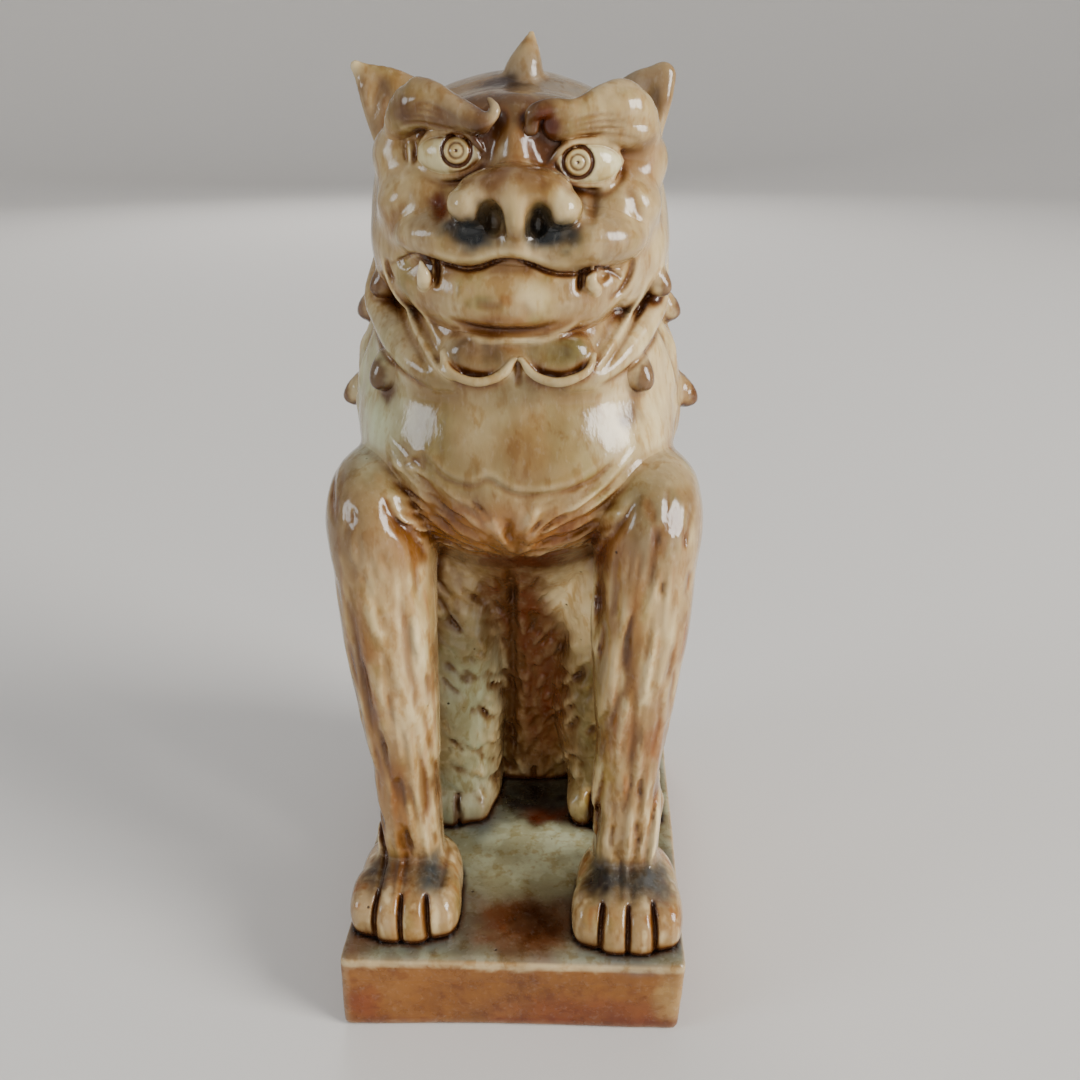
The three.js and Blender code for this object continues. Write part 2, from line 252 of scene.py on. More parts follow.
def lattice(scale, seed):
    """Random values over the whole object, scale apart."""
    n = np.ceil(SPAN / np.array(scale)).astype(int) + 4
    return np.random.RandomState(seed).uniform(-1, 1, n).astype(F)


def bspline(axis, scale, origin, count):
    """Weights that carry lattice values to the samples along one axis."""
    t = (axis - origin) / scale + 1
    i = np.floor(t).astype(int)
    f = t - i
    w = np.zeros((len(axis), count), F)
    rows = np.arange(len(axis))
    for k, v in enumerate([(1 - f) ** 3 / 6, (3 * f ** 3 - 6 * f ** 2 + 4) / 6,
                           (-3 * f ** 3 + 3 * f ** 2 + 3 * f + 1) / 6, f ** 3 / 6]):
        np.add.at(w, (rows, np.clip(i - 1 + k, 0, count - 1)), v)
    return w


def lumps(grid, scale, seed):
    """Smooth noise, about -1 to 1, at every sample of a grid."""
    scale = np.broadcast_to(np.array(scale, float), 3)
    field = lattice(scale, seed)
    for k in range(3):
        w = bspline(grid.axes[k], scale[k], ORIGIN[k], field.shape[k])
        field = np.moveaxis(np.tensordot(w, field, axes=(1, k)), 0, k)
    return field * F(1.8)


def noise(points, scale, seed):
    """Noise about -1 to 1 at scattered points."""
    scale = np.broadcast_to(np.array(scale, float), 3)
    field = lattice(scale, seed)
    p = (points - ORIGIN) / scale
    i = np.floor(p).astype(int)
    f = p - i
    f = f * f * (3 - 2 * f)
    return trilinear(field, np.clip(i, 0, np.array(field.shape) - 2), f)


# ---- Tool strokes, drawn as seen from the front, the back or a side -----
def stroke(points, width, depth, ends=1.0):
    """A line pressed in (depth > 0) or raised (depth < 0), through points (x, z). ends 0 keeps full depth."""
    return spline(points, 5), width, depth, ends


def ring(centre, radius, width, depth):
    """A stroke round a circle."""
    t = np.linspace(0, 2 * math.pi, 25)
    points = np.stack([centre[0] + radius * np.cos(t), centre[1] + radius * np.sin(t)], 1)
    return points, width, depth, 0.0


def both(points, width, depth):
    """The same stroke on both sides."""
    return [stroke([(side * x, z) for x, z in points], width, depth) for side in (1, -1)]


def relief(grid, strokes, across):
    """The depth of all the strokes over x and z, or over y and z for strokes seen from the side."""
    us, zs = grid.axes[1 - across], grid.axes[2]
    total = np.zeros((len(us), len(zs)), F)
    for points, width, depth, ends in strokes:
        pad = 2.6 * width
        ends_of = [(points[:, k].min() - pad, points[:, k].max() + pad) for k in (0, 1)]
        (i, j), (m, n) = (np.searchsorted(a, pair) for a, pair in zip((us, zs), ends_of))
        if j <= i or n <= m:
            continue
        u, z = us[i:j, None], zs[None, m:n]
        best = np.full((j - i, n - m), 1e6, F)
        place = np.zeros_like(best)
        count = len(points) - 1
        for s in range(count):
            a, b = points[s], points[s + 1]
            ab = b - a
            t = np.clip(((u - a[0]) * ab[0] + (z - a[1]) * ab[1]) / (ab @ ab + 1e-9), 0, 1)
            d = (u - a[0] - t * ab[0]) ** 2 + (z - a[1] - t * ab[1]) ** 2
            near = d < best
            best = np.where(near, d, best)
            place = np.where(near, (s + t) / count, place)
        taper = 1 - ends * np.abs(2 * place - 1) ** 3
        total[i:j, m:n] += depth * taper * np.exp(-best / width ** 2)
    return total


def hair(rng, count, place, flow, length, width, depth, bend=0.2):
    """Scattered strokes. place(rng) gives a start and flow(x, z) the direction there, in radians."""
    made = []
    for _ in range(count):
        x, z = place(rng)
        size = length * rng.uniform(0.6, 1.4)
        turn = rng.uniform(-bend, bend)
        points = [(x, z)]
        for step in range(3):
            angle = flow(x, z) + turn * step + rng.uniform(-0.05, 0.05)
            x, z = x + size / 3 * math.cos(angle), z + size / 3 * math.sin(angle)
            points.append((x, z))
        made.append(stroke(points, width * rng.uniform(0.7, 1.3), depth * rng.uniform(0.5, 1.3)))
    return made


def within(across, heights):
    """A place for hair to start, anywhere in a box."""
    return lambda rng: (rng.uniform(*across), rng.uniform(*heights))


def on_sides(across, heights):
    """The same in a box on either side."""
    return lambda rng: (rng.choice([-1, 1]) * rng.uniform(*across), rng.uniform(*heights))


# ---- The clay pieces -------------------------------------
# A piece is a list of shapes, each with how wide it melts into the ones before it. Where a function takes s,
# it is 1 for the lion's left side and -1 for its right.
TRUNK = loft([
    [22, 0, 20, 60, 30], [40, 0, 14, 62, 35], [60, 0, 9, 63, 38], [85, 0, 1, 62, 40], [110, 0, -9, 57, 40],
    [132, 0, -23, 50, 40], [150, 0, -37, 43, 42], [170, 0, -43, 37, 47], [190, 0, -48, 32, 51],
    [208, 0, -46, 28, 49.5], [224, 0, -40, 24, 43], [240, 0, -32, 16, 33],
])
CHEST = ball((0.5, -27, 184), (46, 34, 34))
NECK = ball((1, -22, 214), (41, 34, 22))
BODY = [(TRUNK, 1), (CHEST, 9), (NECK, 8)]  # both trunk shells together
SEAM_Y, SEAM_Z, SEAM_LEAN = 12.0, 120.0, 0.2  # a point on the seam between them, and its lean in radians


def half_of(shape, side):
    """The part of a shape in front of (-1) or behind (1) the trunk's leaning seam."""
    def at(x, y, z):
        past = (y - F(SEAM_Y)) * F(math.cos(SEAM_LEAN)) + (z - F(SEAM_Z)) * F(math.sin(SEAM_LEAN))
        return np.maximum(shape.at(x, y, z), past * F(-side))
    return Shape(shape.low, shape.high, at)


def foreleg(s):
    """A straight leg, its shoulder and its elbow."""
    x = 37 if s > 0 else -36.6
    leg = [[34, x, -55, -36, 12.5], [46, x, -55.5, -35, 11.4], [60, x, -57, -34, 11],
           [82, x, -58, -33, 11], [108, x + s, -61, -31, 13], [136, x + 2.6 * s, -63, -26, 15],
           [158, x + 3.4 * s, -61, -18, 15.4], [174, x + 3.6 * s, -56, -12, 14.4],
           [184, x + 3.2 * s, -49, -16, 11]]
    return [
        (loft(leg, power=2.4, cap=8), 2),
        (ball((s * 40.6, -37, 165), (15.2, 25, 21)), 6),
        (ball((s * 38, -24, 128), (10, 10, 20), turn=(14, 0, 0)), 8),
    ]


TOES = (-12.9, -4.5, 4.3, 12.6)  # the middles of the toes across the paw


def paw(x, tip, length, k):
    """A mitten of a paw with its front at y = tip and four toes melted into it over k."""
    z = PLINTH_TOP + 4
    parts = [(ball((x, tip + 1 + length * 0.5, z), (17.3, length * 0.5, 12.2), power=2.7), 2),
             (ball((x, tip + length * 0.56, z + 5.5), (14, length * 0.4, 8.5)), 5)]
    for i, dx in enumerate(TOES):
        back = 3.2 if i in (0, 3) else 0.5
        toe = ball((x + dx, tip + 9.5 + back, z + 0.8), (5.3, 9.5, 9.6), turn=(8, 0, 0), power=2.4)
        parts.append((toe, k))
    return parts


def haunch(s):
    """The round of the thigh, and the shank that rises before it to the belly."""
    shank = [[24, 29, -8, 40, 15], [50, 29, -11, 44, 16], [80, 29, -15, 46, 17.5], [106, 28, -20, 38, 17.5],
             [128, 26.5, -26, 26, 16.5], [146, 25, -30, 14, 13], [156, 24, -31, 6, 8]]
    stations = [[z, s * x + 3, front, back, half] for z, x, front, back, half in shank]
    return [(ball((s * 31, 20, 78), (23, 35, 51), turn=(14, 0, 0)), 2), (loft(stations, power=2.6, cap=6), 7)]


def tail_lock(x, top, width):
    """An upright flame of hair behind the trunk, swaying out to x."""
    z = PLINTH_TOP + 6
    rise = top - z
    path = [(x * 0.2, 66, z), (x * 0.75, 69, z + rise * 0.35), (x * 1.15, 68, z + rise * 0.68),
            (x * 0.9, 62, top)]
    return [(roll(path, [width * 0.8, width, width * 0.72, 1.2], flat=0.9), 3)]


MANE_CURLS = [  # angle round the neck from the front in degrees, and height
    (62, 232), (50, 207), (92, 221), (90, 194), (128, 236), (124, 208), (122, 180), (156, 222), (154, 194),
]
NAPE = (240, 209, 180)  # the heights of the curls down the back of the neck


def neck_radius(degrees, s, z):
    """How far the surface is from the middle of the neck, going out at an angle from the front."""
    a = math.radians(degrees)
    r = np.linspace(20, 62, 169)
    x, y, h = s * math.sin(a) * r, NECK_Y - math.cos(a) * r, np.full_like(r, z)
    d = melt(melt(TRUNK.at(x, y, h), CHEST.at(x, y, h), 9), NECK.at(x, y, h), 8)
    for shape, _ in SKULL[:3] + JAW:
        d = np.minimum(d, shape.at(x, y, h))
    return float(r[np.argmax(d > 0)])


def mane_curl(s, degrees, z):
    """A pointed curl standing off the neck, its tip out and down."""
    a = math.radians(degrees)
    out = np.array([math.sin(a) * s, -math.cos(a), 0])
    foot = np.array([0, NECK_Y, z]) + out * (neck_radius(degrees, s, z) - 1)
    reach = 0.75 if degrees < 60 else 1.0
    path = ((-4, 7.5), (-0.8, 4.4), (2.8, 1.6), (6.2, 0.2))
    points = [foot + out * d * reach + (0, 0, rise) for d, rise in path]
    return [(roll(points, [4, 5, 3.7, 0.6], steps=3), 1.6)]


# The middles of the eyes and of their irises, in x and z. The face is set a little to the lion's left.
EYES = {"right": (-13.6, 269.6), "left": (21.4, 267.2)}
IRIS = {"right": (-11.9, 270.7), "left": (19.3, 267.7)}


def sign(side):
    """Which way the side lies in x."""
    return -1 if side == "right" else 1


def eyeball(side):
    """A long ball turned a little outwards."""
    s = sign(side)
    x, z = EYES[side]
    return [(ball((x, -46, z), (9.8, 5.4, 6.2), turn=(0, 0, s * 17)), 0.3)]


def lids(side):
    """A thin roll over the eyeball and another under it, each lying on the ball."""
    s = sign(side)
    x, z = EYES[side]
    upper = [(-9.6, -0.2), (-5.5, 3.9), (1, 5.6), (6, 4.4), (9.2, 0.6)]
    lower = [(-9.4, -0.6), (-5, -4.4), (0.5, -5.4), (5.8, -4.4), (9, -0.4)]

    def seat(outward, up):
        bulge = max(0.0, 1 - (outward / 11) ** 2 - (up / 8.5) ** 2)
        return x + s * outward, -44.4 + 0.3 * outward - 5.6 * math.sqrt(bulge), z + up

    return [(roll([seat(*p) for p in line], [0.8, waist, middle, waist, 0.8]), 0.8)
            for line, waist, middle in ((upper, 1.3, 1.5), (lower, 1.2, 1.3))]


SKULL = [
    (ball((1, -12, 256), (42.5, 37.5, 34.5)), 1),
    (ball((-23.5, -22, 243), (16.5, 25, 18)), 9),
    (ball((28.5, -21, 242), (16.5, 25, 18)), 9),
    (ball((2, -39, 271), (27, 11, 13)), 8),
    (roll([(2.6, -45, 280), (3, -48.4, 276), (3.8, -50, 271.5), (4, -51, 266)], [1.2, 2.4, 3, 3.6]), 8),
    (ball((27, -40, 274.5), (13, 8.8, 5)), 4),
    (ball((-29, -32, 269), (8.5, 10, 9)), 6),
    (ball((35, -30, 267), (8.5, 10, 9)), 6),
    (ball((-21, -39.5, 257), (14, 11, 9)), 6),
    (ball((27.5, -39, 256), (14, 11, 9)), 6),
]

MUZZLE = [
    (ball((-11.5, -46, 249.5), (19.5, 14, 8.6), turn=(0, 0, -16)), 3),
    (ball((19, -46, 248.6), (19.5, 14, 8.6), turn=(0, 0, 16)), 3),
    (ball((3.7, -50, 248.5), (9, 11.5, 6)), 3),
]
JAW = [
    (ball((1.8, -34, 236), (35, 23, 14.5)), 3),
    (ball((3, -43.5, 231.5), (23, 15.5, 10.5)), 6),
]
NOSE = [
    (ball((3.7, -56.5, 261.6), (14, 10, 6.2)), 2),
    (ball((3.7, -53, 256), (15.5, 8, 7)), 3),
    (ball((-8.4, -59, 257.9), (5.6, 7, 5), turn=(0, 20, 0)), 4.5),
    (ball((15.5, -59, 257.2), (5.6, 7, 5), turn=(0, -20, 0)), 4.5),
    (roll([(3.6, -60, 262), (3.7, -64, 258.5), (3.9, -63.4, 253.5), (4, -58.5, 248.5)],
          [3.6, 2.9, 2.4, 2.6]), 2.5),
]

BROWS = {
    "right": [
        (roll([(-31, -34, 271), (-27.5, -40, 277.5), (-22, -44.5, 281.5), (-13, -48.5, 279.5),
               (-5, -52, 277.2)], [2.6, 4.6, 6, 4.6, 3]), 1.5),
        (roll([(-22, -44.5, 286), (-16.5, -49, 284.2), (-11.5, -51.5, 279.8), (-5.4, -53.4, 277.2),
               (-2.2, -53.6, 278.2), (-1.6, -52.8, 280.6), (-3, -51.6, 282.6)],
              [2.2, 2.3, 2.2, 2.1, 1.8, 1.4, 0.8]), 1.6),
    ],
    "left": [
        (roll([(36.5, -33, 268.5), (36, -37, 274.5), (31.5, -42.5, 280), (22, -47, 278.2), (14, -50, 276.4)],
              [2.6, 4.6, 6.2, 4.8, 3.6]), 1.5),
        (roll([(7.4, -52, 275.5), (8.2, -53, 279.2), (12.5, -52.5, 280.8), (19, -50, 280.6),
               (25.5, -46, 283.4), (31, -42, 284), (35.5, -39, 280)], [2, 2, 2, 2.2, 2.6, 3, 2.4]), 1.6),
    ],
}


def ear(side):
    """An upright ear: its outer edge, its top edge and the back of its cup. Only the right one is pointed."""
    if side == "right":
        return [
            (roll([(-34.5, -18, 266), (-36.8, -18.5, 276), (-38.9, -19, 284), (-43.2, -19, 291.6)],
                  [3, 3.8, 3.6, 0.9], flat=0.8), 2),
            (roll([(-28, -18, 284), (-34.5, -18, 287), (-43.2, -19, 291.6)], [4.4, 4, 0.9], flat=0.8), 2),
            (ball((-33.5, -13.5, 279), (7, 4.5, 10.5), turn=(0, 22, 0)), 2.5),
        ]
    return [
        (roll([(36.6, -18, 265), (39.4, -18.5, 275), (41.4, -18, 283), (42.2, -17, 288.4)],
              [2.6, 3.4, 3.5, 2.9], flat=0.8), 2),
        (roll([(30, -18, 283), (35.5, -18, 286.4), (42, -17, 288.4)], [3.6, 3.4, 2.8], flat=0.8), 2),
        (ball((35.5, -13.5, 278), (7, 4.5, 10.5), turn=(0, -22, 0)), 2.5),
    ]


HORN = [(roll([(3.4, -21.5, 284), (3.8, -21.8, 289), (4.7, -21.2, 293.4), (5.9, -20.5, 298.9)],
              [6.8, 5.4, 3.5, 0.8], steps=3), 1.6)]


def fang(side):
    """A lower tooth that rises over the lip."""
    if side == "right":
        return [(roll([(-21.6, -46, 235), (-21.4, -52.5, 239), (-21.9, -53.5, 243.4)], [2.6, 2.3, 0.9]), 0.6)]
    return [(roll([(23.2, -46.5, 232.5), (23.4, -53.2, 237.5), (23.4, -54, 241.6)], [2.6, 2.2, 0.9]), 0.6)]


def beard_curl(side):
    """A round curl under the chin with a raised rim."""
    x = -6.9 if side == "right" else 13.6
    path = [(10.6, -52.5, 218.6), (8.4, -56, 214.4), (1.5, -58, 212), (-5, -57.6, 213.4), (-9.2, -56, 217.2)]
    rim = [(x + sign(side) * out, y, z) for out, y, z in path]
    return [(ball((x, -50, 218), (10.8, 7, 7)), 1.5), (roll(rim, [1, 1.15, 1.2, 1.15, 1]), 1)]


def cheek_ruff(s):
    """A roll of hair from under the ear round the jaw to the beard."""
    path = [(41, -16, 238), (41, -25, 229), (36, -34.5, 221), (29.5, -43.5, 215), (22.5, -50, 212),
            (16, -53.5, 211)]
    return [(roll([(s * x + 1, y, z) for x, y, z in path], [2.6, 4, 4.2, 3.8, 3, 1.8], flat=0.8), 4)]


FOREPAWS = {"right": (-36.8, -74.4), "left": (37.4, -76.2)}  # middle in x, and the tips of the toes in y


def pieces_of():
    """Every piece of the figure: the CAD node that it stands for, its shapes, and the grid it is cut from."""
    made = [
        ("trunk_front_shell", [(half_of(shape, -1), k) for shape, k in BODY], "body"),
        ("trunk_back_shell", [(half_of(shape, 1), k) for shape, k in BODY], "rear"),
        ("head_shell", SKULL + lids("right") + lids("left"), "head"),
        ("muzzle", MUZZLE, "head"),
        ("lower_jaw", JAW, "head"),
        ("nose", NOSE, "head"),
        ("horn", HORN, "head"),
    ]
    for side in ("right", "left"):
        s = sign(side)
        made += [
            (f"{side}_eyeball", eyeball(side), f"{side}_eye"),
            (f"{side}_brow", BROWS[side], "head"),
            (f"{side}_ear", ear(side), "head"),
            (f"{side}_fang", fang(side), "head"),
            (f"{side}_beard_curl", beard_curl(side), "head"),
            (f"{side}_cheek_ruff", cheek_ruff(s), "head"),
            (f"{side}_haunch", haunch(s), "rear"),
            (f"{side}_hind_paw", paw(s * 33 + 1.5, -15, 60, 3), "rear"),
            (f"{side}_forepaw", paw(*FOREPAWS[side], 45, 3.6), "paws"),
            (f"{side}_foreleg", foreleg(s), "body"),
        ]
        for i, (degrees, z) in enumerate(MANE_CURLS):
            made.append((f"{side}_mane_curl_{i + 1}", mane_curl(s, degrees, z), "head"))
        made.append((f"tail_{side}_lock", tail_lock(s * 17, 108, 8.5), "rear"))
    made.append(("tail_middle_lock", tail_lock(0, 141, 10.5), "rear"))
    for i, z in enumerate(NAPE):
        made.append((f"nape_mane_curl_{i + 1}", mane_curl(1, 180, z), "head"))
    return made


# What is pressed or cut into the blended form, and how soft its edge is: the nostrils and the flares beside
# them, the cups of the ears, the hollows of the beard and the left brow, and the corners of the mouth.
CUTS = [
    (ball((-2.6, -66, 255.6), (3.3, 9, 4.6), turn=(-20, 0, -6)), 0.9),
    (ball((10.2, -66, 255), (3.3, 9, 4.4), turn=(-20, 0, 6)), 0.9),
    (roll([(-14.2, -61.5, 251.8), (-8.4, -62.5, 250.6), (-2.4, -64, 252.2)], [1.6, 2.7, 2.6]), 1.4),
    (roll([(10, -64, 251.8), (15.2, -62.5, 250.2), (21, -61.5, 251.2)], [2.6, 2.7, 1.6]), 1.4),
    (ball((-37.6, -25.4, 283.4), (2.9, 5.5, 7.6), turn=(0, 26, 0)), 2.5),
    (ball((38.8, -25.4, 282.5), (2.9, 5.5, 6.6), turn=(0, -14, 0)), 2.5),
    (ball((-6.4, -61, 219.2), (8.6, 5.6, 5.2)), 1.5),
    (ball((14.4, -61, 219.2), (8.6, 5.6, 5.2)), 1.5),
    (ball((11.4, -56.5, 276.2), (4.2, 3.6, 2.4)), 1.5),
    (ball((-29.2, -50, 241.8), (3, 5, 1.5)), 1.0),
    (ball((26.8, -54, 239.2), (2.4, 5.6, 2), turn=(0, -30, 0)), 1.0),
]

# The line of the closed lips, in x and z.
MOUTH = [(-31.9, 241.4), (-27.9, 243.2), (-24.1, 245), (-21.3, 244.5), (-18, 243.5), (-14.8, 242.4),
         (-10.4, 241.5), (-6.2, 242), (-2.7, 243.4), (0.6, 244.3), (3.7, 244.2), (7.6, 242.8), (11.4, 241.1),
         (15.4, 240.2), (19.4, 240.2), (22.2, 241), (25.1, 241.6), (28.1, 240), (30.6, 238.2)]


def face_strokes():
    """Everything drawn on the face, the brows, the ruff and the beard."""
    made = [  # the lips, the fangs' sockets, the corners of the mouth and the folds of the chin
        stroke(MOUTH, 0.5, 0.85, 0.3),
        stroke([(x, z + 2.4) for x, z in MOUTH[2:16]], 1.5, -0.6),
        stroke([(-18.2, 243.4), (-18.1, 240), (-18.5, 236.8)], 0.65, 1.7, 0.8),
        stroke([(20.2, 240.8), (20, 237.5), (19.9, 235.6)], 0.65, 1.7, 0.8),
        stroke([(33.9, 243.5), (33.6, 239.6), (31.2, 235), (27.2, 232.4)], 0.9, 1.2),
        stroke([(-33.6, 243), (-33.2, 239), (-31.4, 236)], 0.9, 1.0),
        stroke([(-15.5, 228.6), (-9, 226.6), (-3.6, 225.8), (1.7, 225.7), (8.2, 226.1), (15, 228.4)],
               1.2, 1.6),
        stroke([(-13, 225.2), (-6.6, 223), (-0.6, 222.6), (5.3, 222.6), (11.2, 223.4), (17.1, 226),
                (20.6, 229)], 1.0, -1.1),
        stroke([(-8, 233.2), (-4, 232.4), (0, 233)], 1.6, 0.6),
        stroke([(5, 235), (7, 229)], 1.8, 0.4),
    ]
    for x, z in IRIS.values():
        made += [ring((x, z), 3.8, 0.5, 0.8), ring((x, z), 1.9, 0.42, 0.36),
                 stroke([(x, z - 0.5), (x, z + 0.5)], 0.45, 0.6)]
    made += [  # folds round the eyes and the bridge of the nose
        stroke([(-26.5, 273.6), (-26.6, 270), (-25.9, 266.6)], 0.6, 0.7),
        stroke([(-24, 273.8), (-23.5, 270.3), (-24.1, 266.8)], 0.6, 0.8),
        stroke([(-1, 280), (-1.2, 276), (-3, 271), (-5, 267.8)], 2.2, 0.8),
        stroke([(7, 279.4), (6.9, 275), (8.4, 270.4), (11, 266.8)], 2.2, 0.8),
        stroke([(14, 263.6), (19.5, 261), (26, 259.6), (30, 262.5), (30.6, 267)], 1.2, 0.7),
        stroke([(-6, 264.8), (-11, 262.8), (-17, 262.6), (-22, 264.8)], 1.2, 0.6),
        stroke([(-17, 262.5), (-16.6, 257), (-16, 252.5)], 1.7, 0.8),
        stroke([(23, 262), (23.2, 257), (22.6, 252)], 1.7, 0.8),
        stroke([(31.4, 262), (34, 258), (35.6, 252)], 1.6, 0.6),
        stroke([(-24, 260), (-29, 254), (-31, 248)], 1.8, 0.5),
    ]
    for k in range(4):  # combed hair on the brows
        d = 1.7 * k
        right = [(-29 + d, 276 + 1.6 * k), (-22 + 0.6 * d, 277.6 + 1.4 * k), (-11, 275.4 + 0.9 * k)]
        left = [(35 - d, 273 + 1.9 * k), (27 - 0.6 * d, 274.4 + 1.5 * k), (16, 273.6 + 1.1 * k)]
        made += [stroke(line, 0.55, 0.55) for line in (right, left)]
    made += [  # folds from the corners of the mouth down to the beard, and the edge of the ruff
        stroke([(-35.7, 243), (-33.3, 234.4), (-29, 227.3), (-23.8, 220.7), (-19.7, 215.6), (-14.5, 211.6)],
               0.9, -1.1),
        stroke([(-37.4, 242), (-35.2, 233), (-30.8, 225.4), (-25.4, 218.8), (-21, 213.6)], 1.2, 0.7),
        stroke([(-31.8, 237), (-26.4, 228.2), (-22, 222), (-17.8, 216.6)], 1.3, 0.6),
        stroke([(-27.4, 233.5), (-23, 227), (-18.6, 221.4)], 1.0, -0.6),
        stroke([(38.6, 237), (37, 231), (32.6, 224.4), (28, 218.6), (24.4, 214)], 0.9, -1.0),
        stroke([(40.6, 238), (39, 231), (34.6, 223.4), (29.8, 217), (25.6, 212.4)], 1.2, 0.7),
        stroke([(33.8, 234), (29.6, 227), (26, 221.4), (23, 217)], 1.3, 0.5),
        stroke([(-44, 226), (-38.7, 218.4), (-32.9, 213.6), (-26.6, 210.4), (-20.5, 208.6)], 1.1, 0.8),
        stroke([(46, 226), (40.5, 217.6), (34.5, 213), (29, 210.4), (24.5, 209)], 1.1, 0.7),
        stroke([(3.4, 218), (3.5, 214), (3.3, 209.5)], 0.9, 1.2),
    ]
    return made


def chest_strokes(rng):
    """Hair combed from the shoulders down and in to the middle of the chest, below a scalloped edge."""
    def place(rng):
        x = rng.uniform(-36, 34)
        return x, 158 + 0.014 * x * x + rng.uniform(-6, 19)

    def flow(x, z):
        return -math.pi / 2 + (0.95 if x < 0 else -0.95) * min(1.0, abs(x) / 12)

    made = hair(rng, 120, place, flow, 13, 0.75, 0.6)
    made += hair(rng, 80, place, flow, 12, 1.1, -0.6)
    for i in range(9):  # long combed bands from each shoulder
        t = i / 8
        for s in (-1, 1):
            if s > 0 and i % 2:
                continue
            start = (s * (38 - 12 * t), 189 - 32 * t)
            end = (s * (2.5 + 4 * (1 - t)), 168 - 15 * t)
            middle = ((start[0] + end[0]) / 2, (start[1] + end[1]) / 2 - 3 * (1 - t))
            made.append(stroke([start, middle, end], 0.9, 0.7))
            made.append(stroke([(x, z + 1.9) for x, z in (start, middle, end)], 0.8, -0.6))
    edge = [(-36, 190), (-30, 186.5), (-24, 189), (-17, 184), (-10, 182.5), (-5, 184.5), (2, 180.5), (9, 180),
            (17, 181), (24, 184.5), (30, 189)]
    made.append(stroke(edge, 1.0, 0.7))
    made.append(stroke([(x, z + 2.2) for x, z in edge], 1.6, -0.5))
    made += both([(36.5, 178), (32, 169), (27.5, 161), (25.4, 151)], 1.0, 1.3)
    return made


def leg_strokes(rng):
    """Long grooves where the glaze has run down the forelegs, and hair on them and on the shoulders."""
    made = [
        stroke([(-47.4, 150), (-45.6, 126), (-43.8, 106), (-40.6, 88), (-38, 70), (-37, 52)], 1.7, 0.8, 0.4),
        stroke([(-31.5, 150), (-30.8, 120), (-30.2, 90), (-29.6, 58)], 1.6, 0.9),
        stroke([(36.8, 150), (36.6, 124), (37.4, 104), (36, 80)], 1.6, 1.1),
        stroke([(43.6, 120), (42, 92), (41, 66), (40.6, 48)], 1.3, 0.7),
    ]

    def down(x, z):
        return -math.pi / 2 + 0.10 * (1 if x < 0 else -1)

    leg = on_sides((24, 50), (54, 172))
    made += hair(rng, 120, leg, down, 22, 0.9, 0.6, bend=0.05)
    made += hair(rng, 100, leg, down, 24, 1.3, -0.6, bend=0.05)
    made += hair(rng, 70, on_sides((24, 46), (50, 84)), down, 10, 0.7, 0.55, bend=0.05)
    made += hair(rng, 40, on_sides((34, 54), (150, 184)), down, 9, 1.0, 0.5)
    return made


def belly_strokes(rng):
    """The groove down the belly, and locks of fur on it and on the thighs' inner faces."""
    made = [stroke([(-1.6, 150), (-2.8, 126), (-3.6, 106), (-4.8, 86), (-6, 60), (-7, 34)], 1.8, 2.4, 0.1)]

    def flow(x, z):
        return -math.pi / 2 + 0.5 * math.tanh((-2 - x) / 8)

    place = within((-30, 34), (36, 146))
    made += hair(rng, 190, place, flow, 9, 0.9, 0.9)
    made += hair(rng, 150, place, flow, 8, 1.3, -0.8)
    return made


def back_strokes(rng):
    """Locks of hair on the back, haunches and tail, and the spine."""
    made = [stroke([(0, 176), (0, 150), (0, 120)], 3.0, -0.9)]
    foot = 36
    for x, top in ((0, 138), (-17, 106), (17, 106)):  # three grooves up each tail lock
        rise = top - foot
        for d in (-0.5, 0, 0.5):
            path = [(x * 0.25 + d * 6, foot), (x * 0.8 + d * 15, foot + rise * 0.4),
                    (x * 1.1 + d * 10, foot + rise * 0.72), (x * 0.9 + d * 2, top - 4)]
            made.append(stroke(path, 1.5, 1.3))

    def flow(x, z):
        return -math.pi / 2 + 0.4 * math.sin(z / 13 + x / 9)

    place = within((-46, 46), (40, 280))
    made += hair(rng, 230, place, flow, 13, 1.3, 0.7)
    made += hair(rng, 150, place, flow, 13, 1.9, -0.6)
    return made


GAPS = [(a + b) / 2 for a, b in zip(TOES, TOES[1:])]


def paw_strokes():
    """The grooves between the toes of the forepaws."""
    return [stroke([(x + gap * 0.92, 41.6), (x + gap, 37), (x + gap * 1.028, 28)], 0.9, 2.0, 0.5)
            for x, _ in FOREPAWS.values() for gap in GAPS]


def hind_strokes():
    """The grooves between the toes of the hind paws."""
    return [stroke([(x + gap, 40), (x + gap, 34), (x + gap, 26)], 1.1, 2.2, 0.2)
            for x in (-34, 34) for gap in GAPS]


def flank_strokes(rng):
    """Hair on the flanks, seen from the side as (y, z): longer on the neck, and swept back on the thighs."""
    def flow(y, z):
        return -math.pi / 2 + (0.5 if z < 125 else 0.15) * math.cos(y / 19 + z / 31)

    place = within((-24, 66), (36, 236))
    made = hair(rng, 230, place, flow, 13, 1.3, 0.6)
    made += hair(rng, 150, place, flow, 13, 1.8, -0.5)
    made.append(stroke([(-10, 124), (4, 132), (20, 131), (36, 120), (48, 100)], 1.6, 0.9))
    made.append(stroke([(-8, 118), (6, 126), (20, 125), (34, 114), (44, 96)], 1.8, -0.7))
    return made


